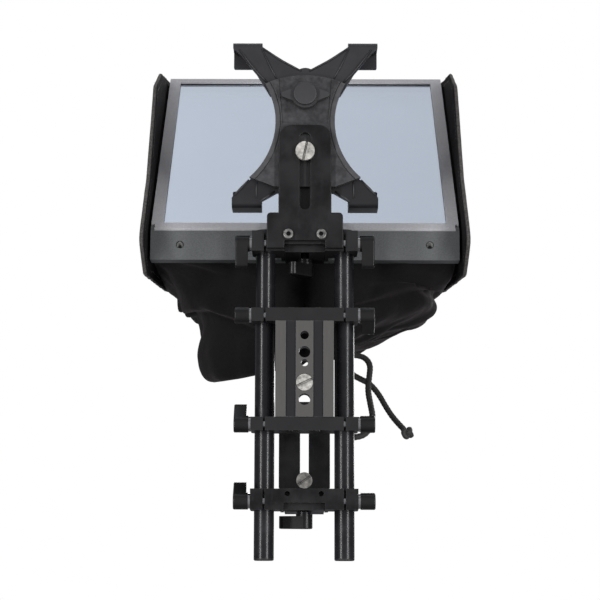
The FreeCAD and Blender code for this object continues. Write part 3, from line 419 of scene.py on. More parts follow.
def socket_steel(name, node, inwards, socket, grey):
    """Plated socket heads in a mirrored pair: a bright turned face round a socket painted near black, painted shade
    for the hole.
    """
    low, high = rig.box(node)
    finish = Finish(name, (grey, grey * 0.99, grey * 0.95), 0.28, 0.45)
    place = finish.axes()
    sideways = finish.math("SUBTRACT", finish.math("ABSOLUTE", place["X"]), high.x - inwards)
    lengthways = finish.math("SUBTRACT", place["Y"], (low.y + high.y) / 2)
    reach = finish.math("MULTIPLY", finish.distance(sideways, lengthways), 100.0)
    smears = finish.ramp(finish.noise(420, 4, 0.6), (0.36, 0), (0.64, 1))
    shade = finish.tint(smears, 0.55, 1.35)
    # painted shade: inside the socket's radius the head is painted near black for the shade in its hole
    deep = finish.ramp(reach, (socket * 0.1 - 0.02, 0), (socket * 0.1 + 0.01, 1))
    finish.base = finish.mix(deep, (0.004, 0.004, 0.005), shade)
    finish.rough(smears, 0.24, 0.42)
    finish.bump(reach, 0.00002, 0.4)
    finish.wear((0.06, 0.06, 0.06), 0.0004, 0.7)
    return finish.material


def bright_steel():
    """Collars and studs: bright turned steel, seen mostly on edge."""
    finish = Finish("bright_steel_collar", (0.60, 0.60, 0.60), 0.22, 1.0)
    smears = finish.noise(300, 3)
    finish.tint(smears, 0.8, 1.1)
    finish.rough(smears, 0.16, 0.32)
    finish.bump(finish.noise(1.0, 2, 0.5, finish.stretched((3000, 200, 200))), 0.00001, 0.4)
    return finish.material


# ---- finishes of the frame, rail and glass ---------------------------------------------------

def powder_coat(name, colour, roughness, grain, depth):
    """Sandy powder coating: a fine broken relief and a little fleck."""
    finish = Finish(name, colour, roughness, 0.0, Specular_IOR_Level=0.5)
    sand = finish.noise(grain, 3, 0.65)
    finish.tint(finish.ramp(sand, (0.35, 0), (0.65, 1)), 0.80, 1.22)
    finish.rough(finish.noise(90, 3), roughness - 0.05, roughness + 0.07)
    finish.bump(sand, depth, 0.6)
    finish.wear([c * 2.2 for c in colour], 0.0006, 0.35)
    return finish.material


def gasket_rubber():
    finish = Finish("gasket_rubber_finish", (0.012, 0.012, 0.014), 0.62)
    grain = finish.noise(900, 3)
    finish.tint(grain, 0.7, 1.4)
    finish.bump(grain, 0.00003, 0.4)
    return finish.material


def coated_glass():
    """Beam-splitter glass: half mirror, half clear, with the faintest dust and wipe marks."""
    finish = Finish("beam_splitter", (0.63, 0.68, 0.765), 0.03, 1.0)
    wipes = finish.noise(1.0, 4, 0.6, finish.stretched((9, 22, 22)))
    dust = finish.ramp(finish.cells(900), (0.0, 1), (0.06, 0))
    finish.tint(wipes, 0.97, 1.02)
    finish.rough(wipes, 0.015, 0.05)
    finish.set("Alpha", 0.8)
    finish.bump(dust, 0.000002, 0.2)
    return finish.material


def moulded(name, grey, roughness, grain=1500.0, depth=0.00004, blue=1.05):
    """Glass-filled nylon with a spark-eroded grain and paler, polished edges."""
    finish = Finish(name, (grey, grey, grey * blue), roughness, 0.0, Specular_IOR_Level=0.5)
    skin = finish.noise(grain, 3, 0.6)
    flow = finish.noise(70, 3)
    finish.tint(flow, 0.80, 1.25)
    finish.rough(flow, roughness - 0.07, roughness + 0.07)
    finish.bump(skin, depth, 0.5)
    finish.wear((grey * 3.4, grey * 3.4, grey * 3.4), 0.0006, 0.6)
    return finish.material


def shell_nylon():
    """The holder's shell: mottled nylon, a moulded border along both waists, darker along a narrow strip down the
    middle.
    """
    waist_x, waist_y, waist, border = 0.08164, -0.17778, 0.059, 0.0040
    finish = Finish("holder_nylon", (0.036, 0.036, 0.0382), 0.45, 0.0, Specular_IOR_Level=0.5)
    skin = finish.noise(1100, 3, 0.6)
    flow = finish.noise(170, 4, 0.65)
    shade = finish.tint(finish.ramp(flow, (0.34, 0), (0.66, 1)), 0.55, 1.6)
    place = finish.axes()
    aside = finish.math("ABSOLUTE", place["X"])
    sideways = finish.math("SUBTRACT", aside, waist_x)
    lengthways = finish.math("SUBTRACT", place["Y"], waist_y)
    depth = finish.math("SUBTRACT", finish.distance(sideways, lengthways), waist)
    in_border = finish.math("DIVIDE", depth, border)
    pale = finish.ramp(in_border, (0.72, 1), (0.82, 0))
    strip = finish.mix(finish.math("MULTIPLY", pale, 0.5), shade, (0.085, 0.085, 0.09))
    far = finish.math("ABSOLUTE", finish.math("SUBTRACT", in_border, 0.95))
    line = finish.ramp(far, (0.06, 1), (0.16, 0))
    darkened = finish.mix(finish.math("MULTIPLY", line, 0.85), strip, (0.006, 0.006, 0.007))
    # darker along a narrow strip down the middle, towards the rear
    slim = finish.math("LESS_THAN", aside, 0.0046)
    rear = finish.math("GREATER_THAN", place["Y"], -0.150)
    finish.base = finish.mix(finish.math("MULTIPLY", finish.math("MULTIPLY", slim, rear), 0.85), darkened,
                             (0.004, 0.004, 0.005))
    finish.rough(flow, 0.38, 0.52)
    finish.bump(skin, 0.00006, 0.5)
    finish.bump(finish.math("MULTIPLY", line, -1.0), 0.0004, 0.7)
    finish.wear((0.12, 0.12, 0.125), 0.0006, 0.6)
    return finish.material


# ---- finishes of the fabric ------------------------------------------------------------------

def velvet_pile(name, darkened):
    """Loop fabric on the stiff boards: a dark grey pile, its pale tone partly painted light for the rim light along
    the boards' edges.
    On a darkened board the face turned to the glass is near black, painted shade inside the hood."""
    finish = Finish(name, (0.075, 0.0715, 0.069), 0.95, 0.0, Sheen_Weight=0.14,
                    Sheen_Roughness=0.45, Sheen_Tint=(0.62, 0.58, 0.54, 1), Specular_IOR_Level=0.10)
    tufts = finish.noise(1500, 4, 0.7)
    brushed = finish.noise(620, 3, 0.65)
    matted = finish.noise(90, 3, 0.6)
    loops = finish.ramp(brushed, (0.36, 0), (0.64, 1))
    worn = finish.math("ADD", finish.math("MULTIPLY", loops, 0.7), finish.math("MULTIPLY", matted, 0.3))
    shade = finish.tint(worn, 0.35, 1.9)
    if darkened:
        # painted shade: the face turned to the glass is painted near black and loses its sheen, for the shade inside
        # the hood
        outwards = finish.math("MULTIPLY", finish.math("ABSOLUTE", finish.axes()["X"]), 10.0)
        outwards = finish.math("SUBTRACT", outwards, 1.0)
        outer = finish.ramp(outwards, (0.2340, 0), (0.2400, 1))
        dark = finish.mix(loops, (0.0036, 0.0034, 0.0042), (0.017, 0.0160, 0.0168))
        finish.link(finish.mix(outer, dark, shade), "Base Color")
        finish.link(finish.math("MULTIPLY", outer, 0.14), "Sheen Weight")
    finish.bump(tufts, 0.00030, 0.7)
    finish.bump(brushed, 0.0007, 0.6)
    return finish.material


def soft_cloth():
    """The sleeve's brushed knit: fine loops, a soft nap and faint lint."""
    finish = Finish("sleeve_cloth", (0.0066, 0.0060, 0.0064), 0.9, 0.0, Sheen_Weight=0.16,
                    Sheen_Roughness=0.5, Sheen_Tint=(0.60, 0.55, 0.57, 1), Specular_IOR_Level=0.15)
    nap = finish.noise(1.0, 4, 0.65, finish.stretched((420, 420, 420)))
    loops = finish.cells(1500)
    lint = finish.ramp(finish.noise(700, 4, 0.75), (0.70, 0), (0.80, 1))
    shade = finish.tint(nap, 0.65, 1.6)
    finish.link(finish.mix(finish.math("MULTIPLY", lint, 0.25), shade, (0.05, 0.045, 0.04)), "Base Color")
    finish.bump(loops, 0.00018, 0.6)
    finish.bump(nap, 0.0004, 0.45)
    return finish.material


def braided():
    """Polyester braid: fine filaments along both ways of the plait."""
    finish = Finish("cord_filament", (0.022, 0.022, 0.021), 0.62, 0.0, Sheen_Weight=0.35,
                    Sheen_Roughness=0.4, Sheen_Tint=(0.7, 0.68, 0.64, 1), Specular_IOR_Level=0.35)
    filaments = finish.noise(1.0, 3, 0.6, finish.stretched((3200, 3200, 1400), (0.5, 0.4, 0)))
    finish.tint(filaments, 0.6, 2.2)
    finish.bump(filaments, 0.00008, 0.6)
    return finish.material


def thread():
    finish = Finish("sewing_thread", (0.020, 0.020, 0.021), 0.55, 0.0, Sheen_Weight=0.3)
    twist = finish.noise(4000, 2)
    finish.tint(twist, 0.6, 1.8)
    finish.bump(twist, 0.00004, 0.6)
    return finish.material


# ---- which CAD part has which finish ---------------------------------------------------------

def centre_of(node):
    low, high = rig.box(node)
    return (low + high) / 2


def dress(material, *nodes):
    for node in nodes:
        slots = frame["nodes"][node].data.materials
        slots.clear()
        slots.append(material)


def dress_cad_parts():
    """Every CAD part that stays visible gets its finish."""
    clamps = [f"clamp_{end}_{side}" for end in ("front", "second", "third", "rear")
              for side in ("left", "right")]
    levers = [*clamps, "lock_front", "lock_rear"]
    dress(milled_grey(), "base_plate")
    dress(anodised("satin_black", 0.018, 0.42), "base_bar_front", "base_bar_rear", "front_bracket")
    dress(rubbed_plate(), "tablet_plate", "camera_plate", "frame_leg", "rear_bracket")
    dress(gloss_rod("gloss_rod"), "rod_left", "rod_right")
    dress(moulded("plug_nylon", 0.016, 0.5), "rod_end_plugs")
    dress(black_steel(), "base_bar_screws", "hinge_pins", "wing_knob_stud")
    dress(turned_steel("spare_screw_steel", centre_of("base_screw"), -25), "base_screw")
    dress(turned_steel("tablet_screw_steel", centre_of("tablet_screw"), 102), "tablet_screw")
    dress(turned_steel("camera_screw_steel", centre_of("camera_screw"), -35, 0.5), "camera_screw")
    dress(socket_steel("cap_screw_steel", "tablet_plate_screws", 0.00411, 1.8, 0.22), "tablet_plate_screws")
    dress(socket_steel("end_screw_steel", "rail_screws", 0.0025, 1.5, 0.15), "rail_screws")
    dress(bright_steel(), *[f"{lever}_stud" for lever in clamps])
    dress(gloss_rod("lock_stud_black"), "lock_front_stud", "lock_rear_stud")
    dress(moulded("lever_nylon", 0.0055, 0.33, 1300), *[f"{lever}_lever" for lever in levers])
    # one grey powder coat in two copies: the frame's paler copy is painted light on its face, the rail's darker copy
    # painted shade on its downward face
    dress(powder_coat("rail_powder_shaded_copy", (0.090, 0.096, 0.097), 0.50, 1100, 0.00012), "lower_rail")
    dress(powder_coat("frame_powder_lit_copy", (0.44, 0.435, 0.45), 0.62, 1500, 0.00005), "glass_frame")
    dress(gasket_rubber(), "glass_gasket", "upper_claw_pads", "lower_claw_pads")
    dress(coated_glass(), "glass")
    dress(moulded("retainer_abs", 0.02, 0.5), "glass_retainer")
    dress(shell_nylon(), "holder_shell")
    dress(moulded("knob_nylon", 0.036, 0.45, 1100, 0.00006, 1.06), "wing_knob")
    dress(moulded("jaw_nylon", 0.024, 0.42, 1100, 0.00006, 1.12), "upper_jaw")
    # the upper jaw's nylon painted darker: painted shade under the tablet plate and the rods
    dress(moulded("lower_jaw_nylon_shaded", 0.011, 0.40, 1100, 0.00006, 1.12), "lower_jaw")


# ---- stiff hood boards -----------------------------------------------------------------------

SIDE_OUTLINE = ((-67, 54), (-80, 27), (-84, 19.5), (-90, 16.8), (-98, 20), (-149.5, 66), (-195, 92),
                (-240, 116), (-264, 164), (-283, 256), (-89, 256))
FIBRE_LONG = 1.3
FIBRE_WIDE = 0.14
FIBRES_PER_POINT = 9
SEAM_INSET = 6.0
SEAM_LEVEL = 1.55
RIM_DEPTHS = (0, 0.3, 0.8, 1.5, 2.6, 4.2, 5.2, SEAM_INSET, 6.8, 7.8, 10)


def resampled(outline, step):
    """The closed outline run clockwise as evenly spaced points, its corners softened."""
    corners = [Vector(p) for p in outline]
    area = sum(a.x * b.y - b.x * a.y for a, b in zip(corners, corners[1:] + corners[:1]))
    if area > 0:
        corners.reverse()
    points = []
    for start, end in zip(corners, corners[1:] + corners[:1]):
        count = max(round((end - start).length / step), 1)
        points += [start.lerp(end, i / count) for i in range(count)]
    return [(before + 2 * here + after) / 4
            for before, here, after in zip(points[-1:] + points[:-1], points, points[1:] + points[:1])]


def inset(points, distance):
    """A clockwise outline moved inwards by a distance."""
    moved = []
    for before, here, after in zip(points[-1:] + points[:-1], points, points[1:] + points[:1]):
        along = (after - before).normalized()
        moved.append(here + Vector((along.y, -along.x)) * distance)
    return moved


def uneven(point, seed, size, height):
    """Smooth random unevenness of a given patch size and height."""
    return height * noise.noise(Vector((point[0] / size, point[1] / size, seed)))


def rolled(depth, half, seam):
    """Half the thickness at a depth in from the rim: a rolled edge, then a sewn groove."""
    edge = 1 - min(depth / (half * 1.3), 1)
    groove = seam * math.exp(-((depth - SEAM_INSET) / 0.7) ** 2)
    return half * math.sqrt(1 - edge * edge) - groove


def inner_grid(loop, step):
    """Staggered points inside a loop, clear of it by a step's half."""
    xs, ys = [p.x for p in loop], [p.y for p in loop]
    points = []
    for row in range(int((max(ys) - min(ys)) / step) + 1):
        for column in range(int((max(xs) - min(xs)) / step) + 1):
            point = Vector((min(xs) + (column + 0.5 * (row % 2)) * step, min(ys) + row * step))
            if is_inside(point, loop) and min((point - p).length for p in loop) > step / 2:
                points.append(point)
    return points


def is_inside(point, loop):
    """Whether a ray from the point crosses the loop an odd number of times."""
    odd = False
    for a, b in zip(loop, loop[1:] + loop[:1]):
        if (a.y > point.y) != (b.y > point.y):
            if point.x < a.x + (point.y - a.y) * (b.x - a.x) / (b.y - a.y):
                odd = not odd
    return odd


def fabric_panel(name, outline, lift, thick, material, seed, depths=RIM_DEPTHS, seam=0.15, wobble=0.8,
                 hairy=True):
    """A fabric-covered panel between two skins that meet at its rim. Sizes are in millimetres on
    the panel's own plane, and lift(point, height) puts a point of it in the model's frame."""
    rim = resampled(outline, 3.0)
    rim = [p + Vector((uneven(p, seed, 14, wobble), uneven(p, seed + 9, 14, wobble))) for p in rim]
    loops = [inset(rim, depth) for depth in depths]
    flat = [p for loop in loops for p in loop]
    levels = [depth for depth in depths for _ in rim]
    extra = inner_grid(loops[-1], 7.0)
    flat += extra
    levels += [depths[-1]] * len(extra)
    hem = [(i, (i + 1) % len(rim)) for i in range(len(rim))]
    corners, _, faces, sources, _, _ = geometry.delaunay_2d_cdt(flat, hem, [], 1, 0.0001)
    points, skins = [], []
    for facing in (1, -1):
        index = []
        for number, (corner, source) in enumerate(zip(corners, sources)):
            depth = levels[source[0]] if source else 0
            if facing < 0 and depth == 0:
                index.append(skins[0][number])
                continue
            swell = uneven(corner, seed + facing, 28, 0.45) * smoothstep(0, 10, depth)
            index.append(len(points))
            points.append(lift(corner, facing * (rolled(depth, thick / 2, seam) + swell)))
        skins.append(index)
    both = [tuple(skins[0][i] for i in f) for f in faces]
    both += [tuple(skins[1][i] for i in reversed(f)) for f in faces]
    if hairy:
        add_fibres(points, both, rim, thick, lift, seed)
    return add_mesh(name, points, both, material), inset(rim, SEAM_INSET)


def add_fibres(points, faces, rim, thick, lift, seed):
    """Loose fibres of the pile all along the rim, each a thin blade that leans its own way."""
    chance = random.Random(seed)
    for here, outside in zip(rim, inset(rim, -1)):
        away = (outside - here).normalized()
        for _ in range(FIBRES_PER_POINT):
            slide = Vector((-away.y, away.x)) * chance.uniform(-1.6, 1.6)
            height = chance.uniform(-0.5, 0.5) * thick
            foot = here + slide - away * (0.35 + height * height / thick)
            tip = foot + away * FIBRE_LONG * chance.uniform(0.4, 1) + slide * chance.uniform(-0.4, 0.4)
            rise = chance.uniform(-0.8, 0.8)
            first = len(points)
            points += [lift(foot, height), lift(foot + slide.normalized() * FIBRE_WIDE, height),
                       lift(tip, height + rise)]
            faces.append((first, first + 1, first + 2))


def stitches(name, runs, material, long=2.8, pitch=4.2, radius=0.32):
    """Small raised stitches along closed runs, each (points in metres, outward direction)."""
    points, faces = [], []
    for run, outward in runs:
        walked, due = 0.0, 0.0
        for start, end in zip(run, run[1:] + run[:1]):
            reach = (end - start).length
            along = (end - start).normalized()
            while due < walked + reach:
                middle = start + along * (due - walked)
                across = along.cross(outward).normalized()
                first = len(points)
                for step, swell in ((-1.0, 0.15), (-0.6, 0.9), (0.6, 0.9), (1.0, 0.15)):
                    for turn in range(6):
                        angle = math.tau * turn / 6
                        points.append(middle + along * (step * long / 2 * MM)
                                      + (across * math.cos(angle) + outward * math.sin(angle))
                                      * (radius * swell * MM))
                faces += [tuple(first + i for i in f) for f in ring_faces(4, 6)]
                faces.append(tuple(first + i for i in range(5, -1, -1)))
                faces.append(tuple(first + 18 + i for i in range(6)))
                due += pitch * MM
            walked += reach
    return add_mesh(name, points, faces, material)


def hood_boards(pile, top_pile, sewing):
    """The three covered boards and the stitches round them."""
    runs = []
    for label, side in (("left", -1), ("right", 1)):
        low, high = (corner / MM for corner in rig.box(f"hood_{label}_board"))

        def lift(p, height, side=side, middle=(low.x + high.x) / 2):
            return Vector((middle + side * height, p[0], p[1])) * MM
        board, seam = fabric_panel(f"hood_{label}_panel", SIDE_OUTLINE, lift, high.x - low.x, pile,
                                   3 + side)
        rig.ride(board, "screen")
        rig.replaces(board, f"hood_{label}_board")
        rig.slot(board, "board_fabric")
        for height in (-SEAM_LEVEL, SEAM_LEVEL):
            outward = Vector((side * math.copysign(1, height), 0, 0))
            runs.append(([lift(p, height) for p in seam], outward))
    low, high = (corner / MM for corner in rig.box("hood_top_board"))
    top_outline = ((low.x, low.y), (high.x, low.y), (high.x, high.y), (low.x, high.y))

    def lift_top(p, height):
        return Vector((p[0], p[1], (low.z + high.z) / 2 + height)) * MM
    board, seam = fabric_panel("hood_top_panel", top_outline, lift_top, high.z - low.z, top_pile, 12,
                               wobble=0.4)
    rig.ride(board, "screen")
    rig.replaces(board, "hood_top_board")
    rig.slot(board, "board_fabric")
    runs.append(([lift_top(p, SEAM_LEVEL) for p in seam], Vector((0, 0, 1))))
    sewn = stitches("hood_stitching", runs, sewing)
    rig.ride(sewn, "screen")
    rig.slot(sewn, "board_fabric")


def front_band(cloth):
    """The cloth strip under the top board's front edge, slightly slack."""
    low, high = (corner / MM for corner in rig.box("hood_front_band"))
    middle = (low.y + high.y) / 2
    outline = ((low.x, low.z), (high.x, low.z), (high.x, high.z), (low.x, high.z))

    def lift(p, height):
        slack = uneven(p, 31, 32, 0.9) * smoothstep(high.z, high.z - 14, p[1])
        return Vector((p[0], middle + slack + height, p[1])) * MM
    band, _ = fabric_panel("hood_band_cloth", outline, lift, 1.4, cloth, 21,
                           (0, 0.2, 0.6, 1.2, 3.5), 0, 0.3, False)
    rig.ride(band, "screen")
    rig.replaces(band, "hood_front_band")
    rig.slot(band, "shroud_cloth")
    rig.sheet(band, flat=((high.x - low.x) * MM, (high.z - low.z) * MM), held="stretched",
             rests_on=["hood_top_panel"])


def fixing_tapes(pile):
    """The hook-and-loop strips between the frame's sides and the boards."""
    fold = Vector((0, -102.3, 48))
    up, deep = Vector((0, -math.sqrt(0.5), math.sqrt(0.5))), Vector((0, math.sqrt(0.5), math.sqrt(0.5)))
    outline = ((25, 1.5), (240.3, 1.5), (240.3, 10.5), (25, 10.5))
    for label, side in (("left", -1), ("right", 1)):
        def lift(p, height, side=side):
            return (fold + up * p[0] + deep * p[1] + Vector((side * (121.9 + height), 0, 0))) * MM
        tape, _ = fabric_panel(f"hood_{label}_tape", outline, lift, 2.2, pile, 40 + side,
                               (0, 0.3, 0.8, 1.4, 2.8), 0, 0.2, False)
        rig.ride(tape, "screen")
        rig.slot(tape, "board_fabric")
        if side < 0:
            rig.replaces(tape, "hood_tapes")


# ---- cloth sleeve ----------------------------------------------------------------------------

SLEEVE_SECTIONS = (
    # y, x from, x to, z from, z to, corner radius, degrees that its +X end is turned to the front
    (-89, -122.9, 122.9, 63.5, 255.5, 8, 0),
    (-68, -103, 105, 66, 226, 56, 0),
    (-46, -85, 101, 67, 211, 46, 3),
    (-25, -82, 76, 68, 190, 46, 9),
    (-10, -78, 42, 69, 173, 44, 12),
)
AROUND = 640
CORNER_SHARE = 0.5
ROWS_BETWEEN = 28
HEM_LONG = 9.0
TUCK = 0.15
TUCK_LEVEL = 131.0
ROLL_FROM = 0.78
ROLL_DEEP = 10.0
GATHERS = 11
CLOTH_THICK = 1.1


def section_loop(section):
    """One rounded section of the sleeve as points, anticlockwise seen from the front."""
    y, x_low, x_high, z_low, z_high, corner, turned = section
    centres = ((x_low + corner, z_low + corner), (x_high - corner, z_low + corner),
               (x_high - corner, z_high - corner), (x_low + corner, z_high - corner))
    turn = Matrix.Rotation(math.radians(-turned), 3, "Z")
    quarter = AROUND // 4
    bend = round(quarter * CORNER_SHARE)
    points = []
    for index, (x, z) in enumerate(centres):
        start = math.pi + index * math.pi / 2
        for step in range(bend):
            angle = start + math.pi / 2 * step / bend
            points.append(Vector((x + corner * math.cos(angle), 0, z + corner * math.sin(angle))))
        end = Vector((x + corner * math.cos(start + math.pi / 2), 0,
                      z + corner * math.sin(start + math.pi / 2)))
        next_x, next_z = centres[(index + 1) % 4]
        onward = Vector((next_x + corner * math.cos(start + math.pi / 2), 0,
                         next_z + corner * math.sin(start + math.pi / 2)))
        points += [end.lerp(onward, step / (quarter - bend)) for step in range(quarter - bend)]
    return [turn @ p + Vector((0, y, 0)) for p in points]


def smooth_rows(loops):
    """Rows of points on smooth lines through the sections."""
    rows = []
    for index in range(len(loops) - 1):
        before, after = loops[max(index - 1, 0)], loops[min(index + 2, len(loops) - 1)]
        for step in range(ROWS_BETWEEN):
            t = step / ROWS_BETWEEN
            weights = (-t * (1 - t) ** 2 / 2, (2 - 5 * t * t + 3 * t ** 3) / 2,
                       t * (1 + 4 * t - 3 * t * t) / 2, -t * t * (1 - t) / 2)
            rows.append([a * weights[0] + b * weights[1] + c * weights[2] + d * weights[3]
                         for a, b, c, d in zip(before, loops[index], loops[index + 1], after)])
    return rows + [loops[-1]]


def outward_of(rows, row, step):
    """The surface's outward direction at a point of the grid."""
    around = rows[row][(step + 1) % AROUND] - rows[row][step - 1]
    along = rows[min(row + 1, len(rows) - 1)][step] - rows[max(row - 1, 0)][step]
    return along.cross(around).normalized()


# Shares round start at the foot of the -X side, cross the underside by 0.25, climb the +X side by
# 0.5, cross the top by 0.75 and come down again. Shares along run from the boards to the hem.
LAPS = (
    # share round, share along, the same at the far end, rise: the cloth in front overhangs the rest
    (-0.08, 0.32, 0.06, 0.45, 6.0),
    (0.06, 0.46, 0.15, 0.66, 6.5),
    (0.385, 0.16, 0.225, 0.50, 6.0),
    (0.60, 0.34, 0.74, 0.60, 4.0),
    (0.80, 0.30, 0.94, 0.40, 5.0),
)
RIDGES = (
    # share round, share along, the same at the far end, width as a share round, rise
    (0.10, 0.04, 0.17, 0.42, 0.020, 3.5),
    (0.03, 0.60, 0.06, 1.20, 0.030, 3.5),
    (0.13, 0.62, 0.11, 1.20, 0.028, 4.0),
    (0.42, 0.30, 0.40, 0.75, 0.030, 4.0),
    (0.62, 0.10, 0.60, 0.90, 0.024, 4.0),
    (0.80, 0.15, 0.84, 0.92, 0.024, 4.0),
    (0.93, 0.20, 0.90, 0.90, 0.026, 3.5),
)


def lap_height(share, along):
    """Soft overlaps: the cloth swells up to a line, then drops away behind it."""
    height = 0.0
    for share_from, along_from, share_to, along_to, rise in LAPS:
        across = share - 1 if share - max(share_from, share_to) > 0.5 else share
        t = (across - share_from) / (share_to - share_from)
        off = along - (along_from + (along_to - along_from) * t)
        ends = smoothstep(-0.15, 0.15, t) * (1 - smoothstep(0.85, 1.15, t))
        before = math.exp(-(off / 0.11) ** 2) if off < 0 else math.exp(-(off / 0.030) ** 2)
        behind = smoothstep(0.0, 0.035, off) * math.exp(-off / 0.16)
        height += rise * ends * (before - 0.75 * behind)
    return height


def ridge_height(share, along):
    """Soft folds: each rises along a line and falls away to both sides."""
    height = 0.0
    for share_from, along_from, share_to, along_to, width, rise in RIDGES:
        t = min(max((along - along_from) / (along_to - along_from), 0), 1)
        middle = share_from + (share_to - share_from) * t
        off = abs((share - middle + 0.5) % 1 - 0.5)
        ends = smoothstep(along_from - 0.1, along_from + 0.15, along)
        ends *= 1 - 0.6 * smoothstep(along_to - 0.1, along_to + 0.1, along)
        height += rise * ends * math.exp(-(off / width) ** 2)
    return height


def sleeve_rows():
    """The sleeve's cloth: lapped and creased along its length, gathered and rolled in at the hem."""
    smooth = smooth_rows([section_loop(s) for s in SLEEVE_SECTIONS])
    last = smooth[-1]
    walked = [0.0]
    for here, after in zip(last, last[1:] + last[:1]):
        walked.append(walked[-1] + (after - here).length)
    rows = []
    for number, row in enumerate(smooth):
        along = number / (len(smooth) - 1)
        free = smoothstep(0.0, 0.15, along)
        gathered = smoothstep(0.55, 0.85, along)
        roll = max((along - ROLL_FROM) / (1 - ROLL_FROM), 0)
        sink = ROLL_DEEP * (1 - math.sqrt(1 - 0.94 * roll * roll))
        moved = []
        for step, point in enumerate(row):
            share = step / AROUND
            turn = Vector((math.cos(math.tau * share), math.sin(math.tau * share), 0))
            drift = noise.noise(turn * 2.2 + Vector((0, 0, 5)))
            deep = 0.5 + 1.3 * abs(noise.noise(turn * 2.4 + Vector((0, 0, 9))))
            phase = math.tau * GATHERS * walked[step] / walked[-1] + drift * 9 + 0.9 * along
            pleat = (math.cos(phase) + 0.12 * math.cos(2 * phase + 1)) * 1.6 * deep
            crumple = (noise.noise(point / 42) * 5.5 + noise.noise(point / 19) * 2.2
                       + noise.noise(point / 6) * 0.25) * free
            folds = (lap_height(share, along) + ridge_height(share, along)) * free * (1 - 0.4 * gathered)
            height = crumple + folds + pleat * gathered - sink
            tucked = TUCK * min(point.z - TUCK_LEVEL, 0) * smoothstep(0.45, 1, along)
            tucked *= 1 - smoothstep(10, 70, point.x)
            moved.append(point + outward_of(smooth, number, step) * height - Vector((0, tucked, 0)))
        rows.append(moved)
    return rows + turned_in(rows[-1])


def turned_in(edge):
    """The hem's roll at the open end and the layer that goes back inside it."""
    middle = sum(edge, Vector()) / len(edge)
    lean = math.radians(SLEEVE_SECTIONS[-1][-1])
    rear = Vector((math.sin(lean), math.cos(lean), 0))
    rows = []
    for back, inwards in ((0.5, 0.9), (0.6, 2.0), (0.0, 3.2), (-1.5, 3.9), (-4.5, 4.3), (-HEM_LONG, 4.4)):
        rows.append([p + rear * back + (middle - p).normalized() * inwards for p in edge])
    return rows


def cloth_sleeve(cloth):
    rows = sleeve_rows()
    points = [p * MM for row in rows for p in row]
    sleeve = add_mesh("hood_sleeve", points, ring_faces(len(rows), AROUND), cloth)
    shell = sleeve.modifiers.new("thickness", "SOLIDIFY")
    shell.thickness = CLOTH_THICK * MM
    shell.offset = -1
    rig.ride(sleeve, "screen")
    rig.replaces(sleeve, "hood_shroud")
    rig.slot(sleeve, "shroud_cloth")
    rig.sheet(sleeve, flat=(0.88, 0.125), area=0.092, held="gathered",
             rests_on=["hood_left_panel", "hood_right_panel", "hood_top_panel"])


# ---- drawstring ------------------------------------------------------------------------------

CORD_RADIUS = 2.4
LONG_STRAND = ((30.5, -15.6, 88), (35.6, -9.8, 89.5), (42, -9.3, 90), (48, -7.3, 87.3), (52.2, -1, 83),
               (50.9, 9.5, 76.5), (49.4, 20.7, 69), (51.3, 33.3, 61), (53, 44.2, 53),
               (49.6, 55.2, 46.5), (41.5, 60.4, 43), (32.8, 60.2, 41))
SHORT_STRAND = ((33.5, -16.4, 95), (33, -5, 94.5), (36, 4.4, 93), (43.4, 9, 91.4), (51.5, 13, 89),
                (58.6, 22, 84.5), (64.2, 33.4, 78.5), (70.4, 43.8, 72), (77.4, 51.9, 65.5))


def strand_line(route):
    """Points along the smooth line that a strand's route controls."""
    curve = bpy.data.curves.new("route", "CURVE")
    curve.dimensions = "3D"
    curve.resolution_u = 40
    spline = curve.splines.new("NURBS")
    spline.points.add(len(route) - 1)
    for control, point in zip(spline.points, route):
        control.co = (*(Vector(point) * MM), 1)
    spline.order_u = 3
    spline.use_endpoint_u = True
    holder = bpy.data.objects.new("route", curve)
    mesh = bpy.data.meshes.new_from_object(holder)
    line = [v.co.copy() for v in mesh.vertices]
    bpy.data.objects.remove(holder)
    return line


def spaced(line, step, closed=False):
    """The line again, at even steps."""
    if closed:
        line = line + line[:1]
    lengths = [0.0]
    for a, b in zip(line, line[1:]):
        lengths.append(lengths[-1] + (b - a).length)
    count = max(round(lengths[-1] / step), 2)
    points, at = [], 0
    for index in range(count + (0 if closed else 1)):
        due = min(lengths[-1] * index / count, lengths[-1])
        while at < len(line) - 2 and lengths[at + 1] < due:
            at += 1
        share = (due - lengths[at]) / max(lengths[at + 1] - lengths[at], 1e-9)
        points.append(line[at].lerp(line[at + 1], share))
    return points


PLAIT_PITCH = 0.0062
PLAIT_STRANDS = 6
PLAIT_AROUND = 48
PLAIT_STEP = 0.0004


def plaited_tube(name, line, radius, material, closed=False):
    """A round braid along a line: two sets of strands that cross over and under."""
    line = spaced(line, PLAIT_STEP, closed)
    points, side = [], Vector((0, 0, 1))
    for index, middle in enumerate(line):
        after = line[(index + 1) % len(line)] if closed else line[min(index + 1, len(line) - 1)]
        before = line[index - 1] if closed else line[max(index - 1, 0)]
        along = (after - before).normalized()
        side = (side - along * side.dot(along)).normalized()
        across = along.cross(side)
        run = index * PLAIT_STEP / PLAIT_PITCH * math.tau
        for step in range(PLAIT_AROUND):
            angle = math.tau * step / PLAIT_AROUND
            crossing = math.cos(PLAIT_STRANDS / 2 * angle + run) * math.cos(PLAIT_STRANDS / 2 * angle - run)
            lumps = 0.07 * radius * (crossing - 0.6)
            points.append(middle + (side * math.cos(angle) + across * math.sin(angle)) * (radius + lumps))
    rings = len(line)
    faces = ring_faces(rings, PLAIT_AROUND)
    if closed:
        last = (rings - 1) * PLAIT_AROUND
        faces += [(last + i, last + (i + 1) % PLAIT_AROUND, (i + 1) % PLAIT_AROUND, i)
                  for i in range(PLAIT_AROUND)]
    else:
        faces.append(tuple(range(PLAIT_AROUND - 1, -1, -1)))
        faces.append(tuple((rings - 1) * PLAIT_AROUND + i for i in range(PLAIT_AROUND)))
    return add_mesh(name, points, faces, material), line


